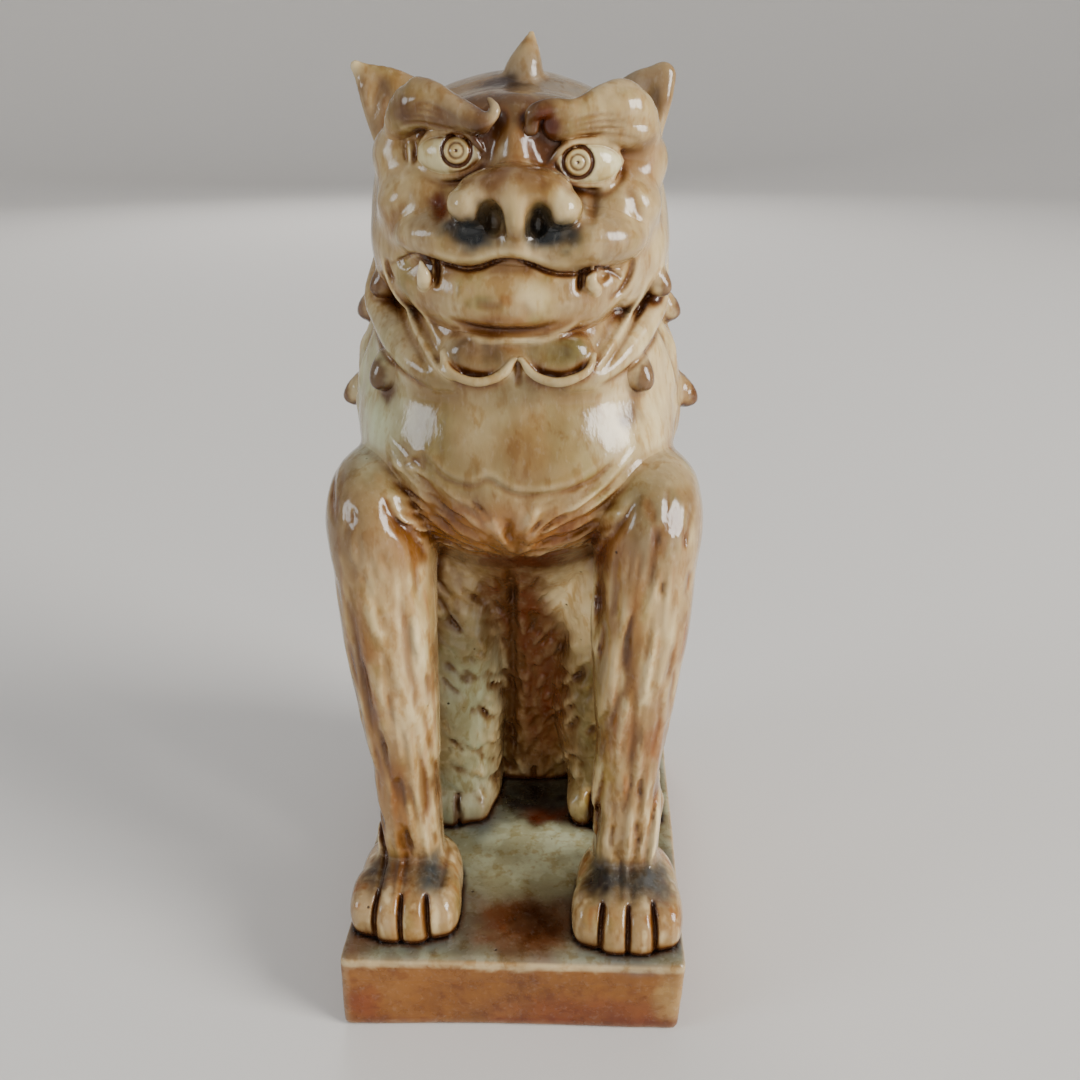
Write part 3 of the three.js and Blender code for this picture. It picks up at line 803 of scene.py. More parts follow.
def layers():
    """Sets of strokes, the axis each is seen along, where on it they fade in and out, and their heights."""
    rng = np.random.RandomState(7)
    return [
        (face_strokes(), 1, (-99, -98, -30, -16), (205, 400)),
        (chest_strokes(rng), 1, (-99, -98, -42, -30), (155, 205)),
        (leg_strokes(rng), 1, (-99, -98, -46, -30), (44, 190)),
        (belly_strokes(rng), 1, (-36, -26, 24, 40), (28, 156)),
        (back_strokes(rng), 1, (14, 30, 98, 99), (20, 284)),
        (paw_strokes(), 1, (-99, -98, -58, -50), (20, 60)),
        (hind_strokes(), 1, (-26, -24, 0, 8), (20, 60)),
        (flank_strokes(rng), 0, (24, 36, 98, 99), (30, 246)),
    ]


# ---- Building the common field ---------------------------
GRIDS = {  # the finest samples are where the most is to be seen
    "body": Grid.between((-61, -72, 26.5), (61, 34, 246), 0.8),
    "rear": Grid.between((-61, -42, 26.5), (61, 84, 246), 1.15),
    "head": Grid.between((-60, -74, 170), (60, 44, 303), 0.54),
    "paws": Grid.between((-60, -80, 26.5), (60, -22, 62), 0.55),
    "right_eye": Grid.between((-36, -64, 252), (4, -28, 284), 0.3),
    "left_eye": Grid.between((4, -64, 252), (40, -28, 284), 0.3),
}
PIECES = pieces_of()
LAYERS = layers()


class Fields:
    """The blended surface on a grid, its strokes, and which piece is nearest and how near the next one is.

    core is a shape that runs on unbroken where pieces only meet at a seam."""

    def __init__(self, grid, pieces, strokes=(), cuts=(), bumps=(), core=(), ground=None):
        self.grid = grid
        self.whole = np.full(grid.shape, FAR, F)
        self.first, self.second = self.whole.copy(), self.whole.copy()
        self.owner = np.full(grid.shape, -1, np.int16)
        self.maps = []
        for index, parts in enumerate(pieces):
            found = grid.piece(parts)
            if found:
                self.add(index, *found, F(max(parts[0][1], 0.3)))
        found = grid.piece(core) if core else None
        if found:
            cut, field = found
            self.whole[cut] = np.minimum(self.whole[cut], field)
        for shape, k in cuts:
            found = grid.window(shape.low, shape.high)
            if found:
                cut, xyz = found
                self.whole[cut] = -melt(-self.whole[cut], shape.at(*xyz).astype(F), F(k))
        for lines, across, knots, (low, high) in strokes:
            along = grid.axes[across] if across else np.abs(grid.axes[across])
            fade = np.interp(along, knots, [0, 1, 1, 0]).astype(F)
            band = np.interp(grid.axes[2], [low - 4, low + 2, high - 2, high + 4], [0, 1, 1, 0]).astype(F)
            if fade.any() and band.any():
                depth = relief(grid, lines, across) * band
                others = [k for k in range(3) if k != across]
                self.whole += np.expand_dims(depth, across) * np.expand_dims(fade, others)
                self.maps.append((depth, fade, across))
        for scale, height, seed in bumps:
            self.whole += lumps(grid, scale, seed) * F(height)
        # near is the surface that shelters the clay: with a ground it includes the plinth top, so the painted
        # shade also darkens the figure where it stands on the plinth.
        self.near = self.whole
        if ground is not None:
            self.near = np.minimum(self.whole, (grid.axes[2] - F(ground))[None, None, :])

    def add(self, index, cut, field, k):
        """Melts one piece in over k, and notes where it is the nearest or the next one."""
        self.whole[cut] = melt(self.whole[cut], field, k)
        nearest, next_one = self.first[cut], self.second[cut]
        closer = field < nearest
        self.second[cut] = np.where(closer, nearest, np.minimum(next_one, field))
        self.first[cut] = np.where(closer, field, nearest)
        self.owner[cut] = np.where(closer, index, self.owner[cut])

    def marks(self, points):
        """How deep the strokes go at points, in millimetres: grooves above 0 and ridges below."""
        p = (points - self.grid.low) / F(self.grid.step)
        total = np.zeros(len(points), F)
        for depth, fade, across in self.maps:
            x = np.clip(p[:, 1 - across], 0, depth.shape[0] - 1.001)
            z = np.clip(p[:, 2], 0, depth.shape[1] - 1.001)
            i, k = x.astype(int), z.astype(int)
            u, v = x - i, z - k
            value = (depth[i, k] * (1 - u) * (1 - v) + depth[i + 1, k] * u * (1 - v)
                     + depth[i, k + 1] * (1 - u) * v + depth[i + 1, k + 1] * u * v)
            total += value * np.interp(p[:, across], np.arange(len(fade)), fade)
        return total

    def shelter(self, points, normals, reach):
        """How sheltered points are within reach, from 0 in the open to about 1 in a groove. The paint uses it
        for pooled glaze and for painted shade.
        """
        above = self.grid.sample(self.near, points + normals * F(reach))
        return np.clip((reach - above) / reach, 0, 1)

    def crest(self, points, normals, reach, gain):
        """How far points stand out on a ridge or an edge, from 0 on the flat to 1."""
        below = self.grid.sample(self.whole, points - normals * F(reach))
        return np.clip((reach + below) / reach * gain, 0, 1)


# ---- Meshes from fields ----------------------------------
def surface(g, low, step):
    """Surface nets: a vertex in each cell that the surface passes through, a quad round each edge it cuts."""
    inside = g < 0
    cells = np.zeros([n - 1 for n in g.shape], bool)
    total = np.zeros(cells.shape + (3,), F)
    count = np.zeros(cells.shape, F)
    quads = []
    crossings = []
    for k in range(3):
        a, b = (tuple(part if axis == k else slice(None) for axis in range(3))
                for part in (slice(None, -1), slice(1, None)))
        change = inside[a] != inside[b]
        where = np.argwhere(change)
        va, vb = g[a][change], g[b][change]
        point = where.astype(F)
        point[:, k] += va / (va - vb)
        u, v = [m for m in range(3) if m != k]
        keep = (where[:, u] > 0) & (where[:, v] > 0)
        keep &= (where[:, u] < g.shape[u] - 1) & (where[:, v] < g.shape[v] - 1)
        where, point, outward = where[keep], point[keep], va[keep] < 0
        corners = []
        for du, dv in ((0, 0), (-1, 0), (-1, -1), (0, -1)):
            c = where.copy()
            c[:, u] += du
            c[:, v] += dv
            corners.append(c)
            cells[tuple(c.T)] = True
            np.add.at(total, tuple(c.T), point)
            np.add.at(count, tuple(c.T), 1)
        crossings.append((corners, outward if k != 1 else ~outward))
    index = np.full(cells.shape, -1)
    index[cells] = np.arange(cells.sum())
    vertices = total[cells] / count[cells][:, None]
    for corners, outward in crossings:
        q = np.stack([index[tuple(c.T)] for c in corners], 1)
        q[~outward] = q[~outward][:, ::-1]
        quads.append(q)
    return vertices * F(step) + low, np.concatenate(quads)


def largest_part(vertices, quads):
    """Drops every island but the biggest."""
    label = np.arange(len(vertices))
    while True:
        low = label[quads].min(1)
        new = label.copy()
        for k in range(4):
            np.minimum.at(new, quads[:, k], low)
        new = new[new]
        if (new == label).all():
            break
        label = new
    names, sizes = np.unique(label, return_counts=True)
    keep = label == names[sizes.argmax()]
    renumber = np.cumsum(keep) - 1
    return vertices[keep], renumber[quads[keep[quads[:, 0]]]]


STEEPEST, GENTLE = 1.2, 0.3  # how fast pieces dive where samples are close and where they are far apart


def carve_piece(fields, index, parts, dive=None):
    """One piece's closed surface: the common surface where it is nearest, diving under its neighbours beyond.

    dive is how steeply. Returns the vertices, the quads and how far each vertex is beyond the seam."""
    grid = fields.grid
    cut, field = grid.piece(parts)
    others = np.where(fields.owner[cut] == index, fields.second[cut], fields.first[cut])
    beyond = np.pad(np.maximum(field - others, 0), 1, mode="edge")
    g = np.pad(fields.whole[cut], 1, constant_values=1.0)
    dive = dive or min(STEEPEST, GENTLE / grid.step ** 2)
    g = np.where(g < 1, g + F(dive) * beyond * beyond, 1)
    local = grid.padded(cut)
    vertices, quads = largest_part(*surface(g, local.low, grid.step))
    value = local.sample(g, vertices)
    normal = local.slope(g, vertices)
    half = F(grid.step / 2)
    rise = (local.sample(g, vertices + normal * half) - local.sample(g, vertices - normal * half)) / grid.step
    move = np.clip(value / np.maximum(rise, 0.3), -0.4 * grid.step, 0.4 * grid.step)
    vertices = vertices - normal * move[:, None]
    return vertices, quads, local.sample(beyond, vertices)


# ---- Glaze painting --------------------------------------
def rgb(*values):
    """Linear colour from 0-255 display values."""
    v = np.array(values, float) / 255
    return np.where(v <= 0.04045, v / 12.92, ((v + 0.055) / 1.055) ** 2.4)


CREAM, STRAW, TAN = rgb(210, 192, 148), rgb(156, 132, 84), rgb(122, 86, 40)
GREIGE, OLIVE, AMBER = rgb(148, 128, 94), rgb(108, 98, 46), rgb(128, 80, 28)
BROWN, DARK, SLATE = rgb(76, 42, 16), rgb(38, 21, 11), rgb(80, 86, 90)
CELADON, RUST = rgb(164, 170, 138), rgb(108, 46, 14)
BLACK, CLAY = rgb(12, 7, 5), rgb(114, 70, 22)

PATCHES = [  # centre, radii, colour and strength. Most are the glaze's own colours; a few are painted highlights on the lit side (the lion's left) and one is painted shade.
    ((2, -42, 284), (20, 20, 14), BROWN * 0.6 + GREIGE * 0.12, 0.95),
    ((-4.5, -50, 273), (4, 9, 9), BROWN, 0.8),
    ((10, -50, 274), (4.5, 9, 9), BROWN, 0.85),
    ((4, -54, 271.5), (2.4, 8, 9), TAN, 0.6),
    ((0, -20, 287), (24, 22, 9), TAN * 0.8, 0.6),
    ((3.7, -62, 266), (12, 9, 4.2), BROWN * 1.3, 0.75),
    ((3.7, -66, 258), (2.6, 6, 6), CREAM * 0.8, 0.5),
    ((-9.6, -63, 259), (4, 6, 3.6), CREAM * 0.85, 0.6),
    ((16.4, -63, 258.6), (4, 6, 3.6), CREAM * 0.85, 0.6),
    # Painted shade: grey beside the smile fold on the lion's left.
    ((22, -44, 254), (6, 9, 8), SLATE, 0.6),
    ((-38.5, -22, 283), (5, 8, 9), BROWN * 1.2, 0.75),
    ((39, -24, 284), (4.5, 8, 8), BROWN * 1.4, 0.7),
    ((-24, -44, 281), (6, 9, 4.5), BROWN * 1.2, 0.7),
    ((-13, -50, 277.5), (8, 6, 2.2), BROWN, 0.6),
    ((11.5, -54, 276.5), (5, 6, 4.5), BROWN, 0.8),
    ((-6.4, -56, 219.8), (9, 9, 5.2), BROWN * 0.8, 0.95),
    ((14.4, -56, 219.8), (9, 9, 5.2), OLIVE * 0.6, 0.85),
    ((0, -56, 208), (15, 12, 3.8), BROWN, 0.75),
    ((4.6, -21, 292), (7, 9, 8), GREIGE * 1.25, 0.75),
    # Painted highlights: pale patches on the lit side, over the outer brow, the neck and the cheek.
    ((31, -38, 281), (12, 12, 7), CREAM, 0.55),
    ((36, -24, 232), (16, 20, 30), CREAM * 1.1, 0.6),
    ((34, -36, 254), (10, 14, 15), CREAM, 0.5),
    ((20, -20, 287), (22, 22, 8), SLATE * 0.6 + GREIGE * 0.4, 0.75),
    ((-14, -24, 286), (16, 16, 8), BROWN * 0.6 + GREIGE * 0.5, 0.6),
    # Painted highlight: a pale strip down the outside of the lit foreleg.
    ((44, -30, 150), (8, 30, 50), CREAM, 0.35),
    ((2, -60, 226.4), (20, 9, 3), AMBER * 0.9, 0.85),
    ((-6, -60, 234), (3.4, 9, 2.2), OLIVE * 0.8, 0.75),
    ((1.4, -60, 234.6), (2.2, 9, 2), AMBER, 0.75),
    ((9, -60, 236), (3.4, 9, 4), CREAM, 0.4),
    ((-2, -52, 166), (34, 22, 12), AMBER * 1.1, 0.75),
    ((-10, -56, 172), (6, 12, 4), RUST, 0.5),
    ((14, -56, 162), (5, 12, 7), RUST, 0.7),
    ((0, -40, 151), (24, 22, 6.5), BROWN, 0.85),
    ((-2, -12, 128), (13, 44, 24), RUST * 0.8, 0.8),
    ((5, 0, 84), (12, 44, 52), BROWN * 0.6 + RUST * 0.7, 0.92),
    ((-20, -6, 86), (10, 26, 38), CELADON * 0.95 + OLIVE * 0.2, 0.85),
    ((24, -10, 78), (6, 26, 26), OLIVE * 0.9, 0.6),
    ((-25, -10, 40), (11, 16, 13), CELADON * 0.9 + SLATE * 0.4, 0.9),
    ((22, -10, 40), (6, 16, 12), OLIVE, 0.5),
    ((-44.4, -54, 112), (3, 24, 40), AMBER, 0.75),
    ((-37.6, -56, 66), (3, 22, 26), AMBER * 0.8, 0.9),
    ((37, -58, 128), (2.6, 16, 36), AMBER * 0.9, 0.75),
    ((27, -50, 108), (2.6, 26, 60), OLIVE, 0.6),
    ((-28, -58, 110), (4.4, 18, 50), CREAM * 0.9, 0.55),
    ((45, -54, 96), (3.6, 20, 22), RUST, 0.3),
    ((42, -54, 172), (9, 20, 15), GREIGE * 0.45, 0.75),
    ((-40, -56, 170), (12, 24, 14), GREIGE * 0.5, 0.45),
    ((-47, -40, 170), (13, 30, 20), TAN * 0.45 + GREIGE * 0.3, 0.85),
    ((0, -60, 198), (44, 26, 20), OLIVE * 0.45 + GREIGE * 0.38, 0.75),
    ((-40, -34, 202), (13, 24, 20), CELADON * 1.15, 0.8),
    # Painted highlight on the lit shoulder and neck.
    ((36, -34, 200), (15, 24, 18), CREAM * 1.1, 0.7),
    ((-10, -60, 196), (8, 14, 12), GREIGE * 1.1, 0.5),
    ((-20, -56, 196), (4, 14, 12), OLIVE, 0.35),
    ((6, -60, 194), (6, 14, 10), TAN, 0.5),
]

POOLS_AND_PAINTED_LIGHT = [  # thick or strong glaze that goes over everything else, with a few painted shadows and one painted highlight
    ((-7.2, -60, 251.4), (8.4, 9, 3.9), SLATE * 0.13, 1.0),
    ((13.4, -60, 251), (9, 9, 3.9), SLATE * 0.13, 1.0),
    ((-2.5, -62, 255.8), (3.4, 8, 4.2), BLACK, 1.0),
    ((10.1, -62, 255.2), (3.4, 8, 4), BLACK, 1.0),
    ((-16.2, -52, 257.2), (3, 9, 3.2), RUST * 0.8, 0.9),
    ((-46.5, -60, 45.5), (6, 9, 4.4), DARK, 0.9),
    ((-37.5, -60, 46), (4, 8, 3.4), BROWN, 0.8),
    ((-28, -60, 45), (6, 9, 5), SLATE * 0.4, 0.95),
    ((28, -60, 45.5), (6.5, 10, 5.4), DARK * 0.7 + SLATE * 0.1, 1.0),
    ((38, -61, 45), (8, 8, 4), SLATE * 0.45, 0.9),
    ((47.5, -59, 45), (6, 10, 4.4), SLATE * 0.6, 0.85),
    # Under the horn: pooled glaze and a painted shadow.
    ((-1, -30, 286.5), (8, 6, 3), DARK, 0.9),
    ((-4.2, -50, 274), (3, 9, 7), BROWN * 0.8, 0.8),
    ((10, -50, 274), (4, 9, 8), BROWN * 0.8, 0.85),
    ((13, -52, 277), (3, 7, 2.6), RUST * 0.6, 0.8),
    # The belly on the lit side, painted paler than its glaze as painted light against the shade there.
    ((20.5, -20, 125), (10, 18, 18), CREAM * 1.35, 1.0),
    ((0, -50, 163), (32, 20, 9), AMBER, 0.6),
    # Painted shadows under the two front mane curls.
    ((-35.5, -40, 204), (3, 9, 3), BROWN, 0.85),
    ((34.5, -40, 200), (3.4, 9, 4), BROWN, 0.9),
    ((28, -40, 158), (5, 20, 8), RUST * 0.5, 0.85),
    ((8, -38, 151), (17, 14, 3.6), RUST * 0.6, 0.8),
    ((0, -46, 152.5), (7, 14, 3), RUST * 0.6, 0.7),
]

PLINTH_PATCHES = [
    ((3, -63, 28), (21, 15, 5), BROWN * 1.2 + RUST * 0.25, 1.0),
    ((7, -62, 28), (9, 9, 5), BROWN * 0.6, 0.8),
    ((2, -42, 28), (22, 9, 5), CELADON * 0.7 + GREIGE * 0.3, 0.8),
    # The top between the forelegs, painted paler than its glaze as painted light against the shade there.
    ((0, -27, 28), (27, 14, 5), CELADON * 1.65 + SLATE * 0.9, 0.95),
    # Under the belly: dark glaze and painted shade.
    ((4, 4, 28), (21, 14, 5), BLACK * 1.8 + SLATE * 0.08, 0.95),
    ((8, -6, 28), (9, 5, 5), RUST * 0.6, 0.9),
    ((-17, -8, 28), (6, 14, 5), SLATE * 0.8, 0.8),
    ((-34, -66, 28), (20, 14, 4), SLATE * 0.65, 0.85),
    ((42, -70, 28), (18, 12, 4), SLATE * 0.9, 0.85),
    ((-52, -60, 28), (7, 30, 4), BROWN * 1.4, 0.8),
    ((-50, -81, 10), (6, 5, 7), RUST, 0.75),
    ((20, -79, 21), (34, 4, 4), AMBER * 0.8, 0.5),
    ((30, -80, 7), (34, 4, 6), RUST * 0.9, 0.6),
    ((52, -79, 14), (5, 5, 12), STRAW * 1.2, 0.5),
]


def soft(value, low, high):
    """From 0 at low to 1 at high."""
    t = np.clip((value - low) / (high - low), 0, 1)
    return t * t * (3 - 2 * t)


def mix(colour, other, amount):
    """Some of another colour over a colour."""
    amount = np.clip(amount, 0, 1)[:, None]
    return colour * (1 - amount) + other * amount


def layered(colour, coats):
    """A colour with coats of others over it in turn, each with how much of it there is."""
    for other, amount in coats:
        colour = mix(colour, other, amount)
    return colour


def patched(colour, points, patches, vary=0.0):
    """The colour with ragged-edged patches over it, and how much of it they cover."""
    cover = np.zeros(len(points))
    wobble = points + 1.8 * np.stack([noise(points, 6, 20 + k) for k in range(3)], 1)
    wobble += 0.7 * np.stack([noise(points, 2.2, 24 + k) for k in range(3)], 1)
    for centre, radii, other, strength in patches:
        d = (((wobble - centre) / radii) ** 2).sum(1)
        amount = np.clip(strength * np.exp(-d * d * 0.7) * (1 + vary), 0, 1)
        colour = mix(colour, other, amount)
        cover = np.maximum(cover, amount)
    return colour, cover


def paint_figure(fields, points, kind):
    """The glaze's colour at points: broad patches, runs down the limbs, pools in grooves, pale edges. The
    pooling also paints shade into hollows and where the figure meets the plinth, and some patches are painted
    highlights and painted shadows.
    """
    x, y, z = points.T
    n = fields.grid.slope(fields.whole, points)
    marks = fields.marks(points)
    # How sheltered the clay is at three reaches. Glaze pools there, and the wider reach and the plinth top
    # also stand for painted shade in hollows and round the feet.
    close, middle, wide = (fields.shelter(points, n, r) for r in (1.3, 3.0, 6.5))
    pooling_and_shade = np.clip(0.55 * close + 0.5 * middle + 0.25 * wide, 0, 1)
    crest = fields.crest(points, n, 2.0, 1.7)
    broad = noise(points, 15, 11) + 0.6 * noise(points, 7, 12)
    runs = noise(points, (3.0, 3.0, 30), 13) + 0.7 * noise(points, (1.7, 1.7, 17), 14)
    warm = noise(points, (9, 9, 15), 15) + 0.6 * noise(points, 4, 16)
    flecks = noise(points, (2.0, 2.0, 3.6), 17) + 0.5 * noise(points, 1.1, 18)
    # 1 on the forelegs, on the head, and on the belly and thighs behind the forelegs.
    limbs = soft(-y, 22, 34) * soft(np.abs(x), 14, 24) * (1 - soft(z, 165, 182))
    face = soft(z, 208, 222)
    inside = (1 - soft(-y, 24, 34)) * (1 - soft(y, 30, 45)) * (1 - soft(z, 146, 156))

    colour = np.broadcast_to(STRAW, points.shape).astype(float)
    colour = layered(colour, [
        (GREIGE, 0.5 + 0.7 * warm),
        (TAN, soft(broad + 0.3 * runs, -0.1, 0.9) * (0.75 - 0.2 * face)),
        (OLIVE, soft(-warm + 0.3 * runs, 0.15, 0.95) * 0.6),
        (CREAM, soft(runs + 0.3 * flecks, 0.25, 0.95) * (0.25 + 0.45 * limbs)),
        (AMBER, soft(-runs + 0.2 * broad, 0.3, 0.95) * (0.22 + 0.7 * limbs)),
        (AMBER * 1.4, 0.16 * limbs),
        (TAN * 0.7, soft(flecks, 0.35, 0.95) * (0.25 + 0.35 * inside)),
        (CREAM, soft(-flecks, 0.4, 1.0) * (0.15 + 0.35 * inside)),
    ])
    colour, cover = patched(colour, points, PATCHES, 0.25 * runs - 0.08)
    # Pooled glaze and painted shade darken the sheltered clay, amber to brown to near black; the strokes fill
    # with glaze, and raised strokes and crests break pale.
    colour = layered(colour, [
        (AMBER * 0.8, 1.4 * np.clip(pooling_and_shade - 0.14, 0, 1)),
        (AMBER * 0.6, soft(marks, 0.1, 0.7) * 0.7),
        (BROWN * 0.9, 1.7 * np.clip(pooling_and_shade - 0.38, 0, 1) + soft(marks, 0.5, 1.4) * 0.6),
        (DARK, 2.0 * np.clip(pooling_and_shade - 0.84, 0, 1)),
        (CREAM, soft(-marks, 0.1, 0.8) * 0.5 * (1 - 0.5 * inside) * (1 - 0.6 * cover)),
        (CREAM, 0.6 * crest * (1 - np.clip(pooling_and_shade * 2, 0, 1)) * (1 - 0.8 * cover)),
    ])
    if kind == "eye":
        colour = mix(colour, CELADON * 0.85 + CREAM * 0.5, 0.9 * (1 - np.clip(pooling_and_shade * 1.6, 0, 1)))
        for iris_x, iris_z in IRIS.values():
            colour = mix(colour, STRAW * 1.1, 0.6 * (1 - soft(np.hypot(x - iris_x, z - iris_z), 3.4, 4.2)))
        colour = mix(colour, BROWN, soft(marks, 0.1, 0.4))
    if kind == "fang":
        colour = mix(colour, CREAM * 0.95, 0.7 * (1 - np.clip(pooling_and_shade * 1.6, 0, 1)))
    if kind == "mane":
        out = np.hypot(x, y - NECK_Y)
        colour = mix(colour, BROWN * 1.1, 0.85 * soft(out + 0.8 * flecks, out.max() - 3.8, out.max() - 1.2))
        # Painted shade: the undersides of the curls, which face down, are darker.
        colour = mix(colour, BROWN * 0.9, 0.8 * soft(-n[:, 2], 0.3, 0.8))
    return patched(colour, points, POOLS_AND_PAINTED_LIGHT, 0.06 * flecks)[0]


def paint_plinth(fields, points):
    """Bare brown clay on the sides, grey glaze on the top, pale glaze along the edges. A pale band under the
    top edge is partly a painted highlight, and painted shade darkens hollows and the top round the figure's
    feet.
    """
    z = points[:, 2]
    n = fields.grid.slope(fields.whole, points)
    # How sheltered the glaze is, the figure counting too: pooled glaze, and painted shade on the top round
    # the feet.
    pooling_and_shade = fields.shelter(points, n, 1.5) + 0.6 * fields.shelter(points, n, 4.5)
    crest = fields.crest(points, n, 2.4, 1.6)
    broad = noise(points, 17, 31) + 0.6 * noise(points, 7, 32)
    flecks = noise(points, 3.2, 33) + 0.6 * noise(points, 1.7, 34)
    top = soft(n[:, 2], 0.5, 0.85)
    colour = mix(np.broadcast_to(CLAY, points.shape).astype(float), CLAY * 1.15, 0.5 + 0.6 * broad)
    colour = mix(colour, BROWN * 1.5, soft(-broad + 0.3 * flecks, 0.3, 1.2) * 0.5)
    grey = np.broadcast_to(SLATE * 0.9 + OLIVE * 0.35, points.shape)
    grey = mix(grey, CELADON * 0.8, 0.45 + 0.6 * broad)
    grey = mix(grey, TAN * 0.7, soft(0.6 * flecks + broad, 0.2, 1.2) * 0.5)
    colour = mix(colour, grey, top)
    colour, cover = patched(colour, points, PLINTH_PATCHES, 0.1 * flecks)
    side = 1 - soft(np.abs(n[:, 2]), 0.4, 0.8)
    colour = layered(colour, [
        (RUST * 0.75, side * soft(-z + 1.2 * flecks + 2 * broad, -5.5, -2.0) * 0.8),
        (CREAM * 0.8, side * soft(-z, -1.2, -0.3) * 0.6),
        # A pale band just under the top edge: thin glaze and a painted highlight.
        (CREAM * 0.9, soft(z + 0.8 * flecks, 24.2, 25.6) * side * 0.55),
        # Pooled glaze and painted shade, black in the tightest places, such as round the feet.
        (BROWN * 0.9, 1.2 * np.clip(pooling_and_shade - 0.35, 0, 1)),
        (BLACK, 1.8 * np.clip(pooling_and_shade - 0.9, 0, 1)),
    ])
    return mix(colour, CREAM * 0.95, 0.6 * crest * (1 - np.clip(pooling_and_shade * 2, 0, 1)) * (1 - 0.6 * cover))


# ---- The shader ------------------------------------------
def glaze_material(name, gloss=0.14, spots=1.0, bare=0.0, run=0.45):
    """Glossy ash glaze: painted colour, mottled, with iron spots, pinholes and a slight ripple.

    run below 1 draws the mottling out downwards."""
    material = bpy.data.materials.new(name)
    material.use_nodes = True
    tree = material.node_tree
    nodes, links = tree.nodes, tree.links
    shader = nodes["Principled BSDF"]

    def feed(socket, value):
        if isinstance(value, (int, float, tuple)):
            socket.default_value = value
        else:
            links.new(value, socket)

    def node(kind, settings=(), **inputs):
        made = nodes.new(kind)
        for key, value in dict(settings).items():
            setattr(made, key, value)
        for key, value in inputs.items():
            feed(made.inputs[key.replace("_", " ")], value)
        return made

    def math_node(operation, a, b, clamp=False):
        made = node("ShaderNodeMath", {"operation": operation, "use_clamp": clamp})
        feed(made.inputs[0], a)
        feed(made.inputs[1], b)
        return made.outputs[0]

    def blend(kind, amount, a, b):
        made = node("ShaderNodeMix", {"data_type": "RGBA", "blend_type": kind})
        for k, value in ((0, amount), (6, a), (7, b)):
            feed(made.inputs[k], value)
        return made.outputs[2]

    def ramp(value, low, high):
        settings = {"interpolation_type": "SMOOTHSTEP"}
        return node("ShaderNodeMapRange", settings, Value=value, From_Min=low, From_Max=high).outputs[0]

    place = nodes.new("ShaderNodeTexCoord").outputs["Object"]
    painted = node("ShaderNodeVertexColor", {"layer_name": "glaze"})
    stretched = node("ShaderNodeMapping", Scale=(1, 1, run), Vector=place).outputs[0]

    def mottle(scale, detail=3.0):
        made = node("ShaderNodeTexNoise", Scale=scale, Detail=detail, Roughness=0.6, Vector=stretched)
        return made.outputs["Fac"]

    coarse, medium, fine = mottle(90), mottle(230), mottle(620, 2.0)
    shade = blend("MIX", ramp(coarse, 0.36, 0.64), (0.84, 0.76, 0.66, 1), (1.10, 1.09, 1.08, 1))
    colour = blend("MULTIPLY", 1.0, painted.outputs["Color"], shade)
    colour = blend("MULTIPLY", ramp(medium, 0.50, 0.66), colour, (0.80, 0.69, 0.54, 1))
    haze = math_node("MULTIPLY", ramp(fine, 0.56, 0.72), 0.03)
    colour = blend("SCREEN", haze, colour, (0.9, 0.86, 0.76, 1))

    cells = node("ShaderNodeTexVoronoi", Scale=190.0, Randomness=1.0, Vector=place)
    split = node("ShaderNodeSeparateColor", Color=cells.outputs["Color"])
    chosen = ramp(split.outputs[0], 0.90, 0.93)  # the few cells that hold a spot
    size = math_node("MULTIPLY", split.outputs[1], 0.09)
    spot = math_node("SUBTRACT", math_node("ADD", size, 0.05), cells.outputs["Distance"])
    spot = math_node("MULTIPLY", ramp(spot, 0.0, 0.05), chosen, clamp=True)
    colour = blend("MIX", math_node("MULTIPLY", spot, 0.85 * spots), colour, (0.035, 0.018, 0.010, 1))
    links.new(colour, shader.inputs["Base Color"])

    rough = math_node("ADD", math_node("MULTIPLY", medium, 0.16), gloss - 0.04)
    if bare:
        rough = math_node("ADD", rough, math_node("MULTIPLY", ramp(coarse, 0.42, 0.6), bare))
    links.new(rough, shader.inputs["Roughness"])
    shader.inputs["IOR"].default_value = 1.54
    shader.inputs["Specular IOR Level"].default_value = 0.36
    shader.inputs["Coat Weight"].default_value = 0.15
    shader.inputs["Coat Roughness"].default_value = 0.05

    height = math_node("ADD", math_node("MULTIPLY", medium, 0.9), math_node("MULTIPLY", fine, 0.25))
    ripple = node("ShaderNodeBump", Strength=0.42, Distance=0.0006, Height=height)
    pits = node("ShaderNodeBump", {"invert": True}, Strength=0.8, Distance=0.0005, Height=spot,
                Normal=ripple.outputs[0])
    links.new(pits.outputs[0], shader.inputs["Normal"])
    return material


HIDDEN = 1.5  # how far beyond the seam a surface is surely out of sight
RINGS_KEPT = 4  # of vertices between what shows and what is thinned
WORTH_THINNING = 200  # vertices
THINNED = 0.8  # the share of the hidden faces that goes


def thin_hidden(made, quads, beyond):
    """Thins the part of a mesh that dives out of sight under its neighbours, well clear of what shows."""
    hidden = beyond > HIDDEN
    for _ in range(RINGS_KEPT):
        hidden[quads[~hidden[quads].all(1)]] = False
    if hidden.sum() < WORTH_THINNING:
        return
    group = made.vertex_groups.new(name="hidden")
    group.add(np.flatnonzero(hidden).tolist(), 1.0, "REPLACE")
    thin = made.modifiers.new("thin", "DECIMATE")
    thin.vertex_group = group.name
    thin.vertex_group_factor = 1000  # so strong that nothing outside the group is thinned
    thin.ratio = 1 - THINNED * hidden.mean()
    source = made.data
    made.data = bpy.data.meshes.new_from_object(made.evaluated_get(bpy.context.evaluated_depsgraph_get()))
    made.modifiers.clear()
    made.vertex_groups.clear()
    bpy.data.meshes.remove(source)


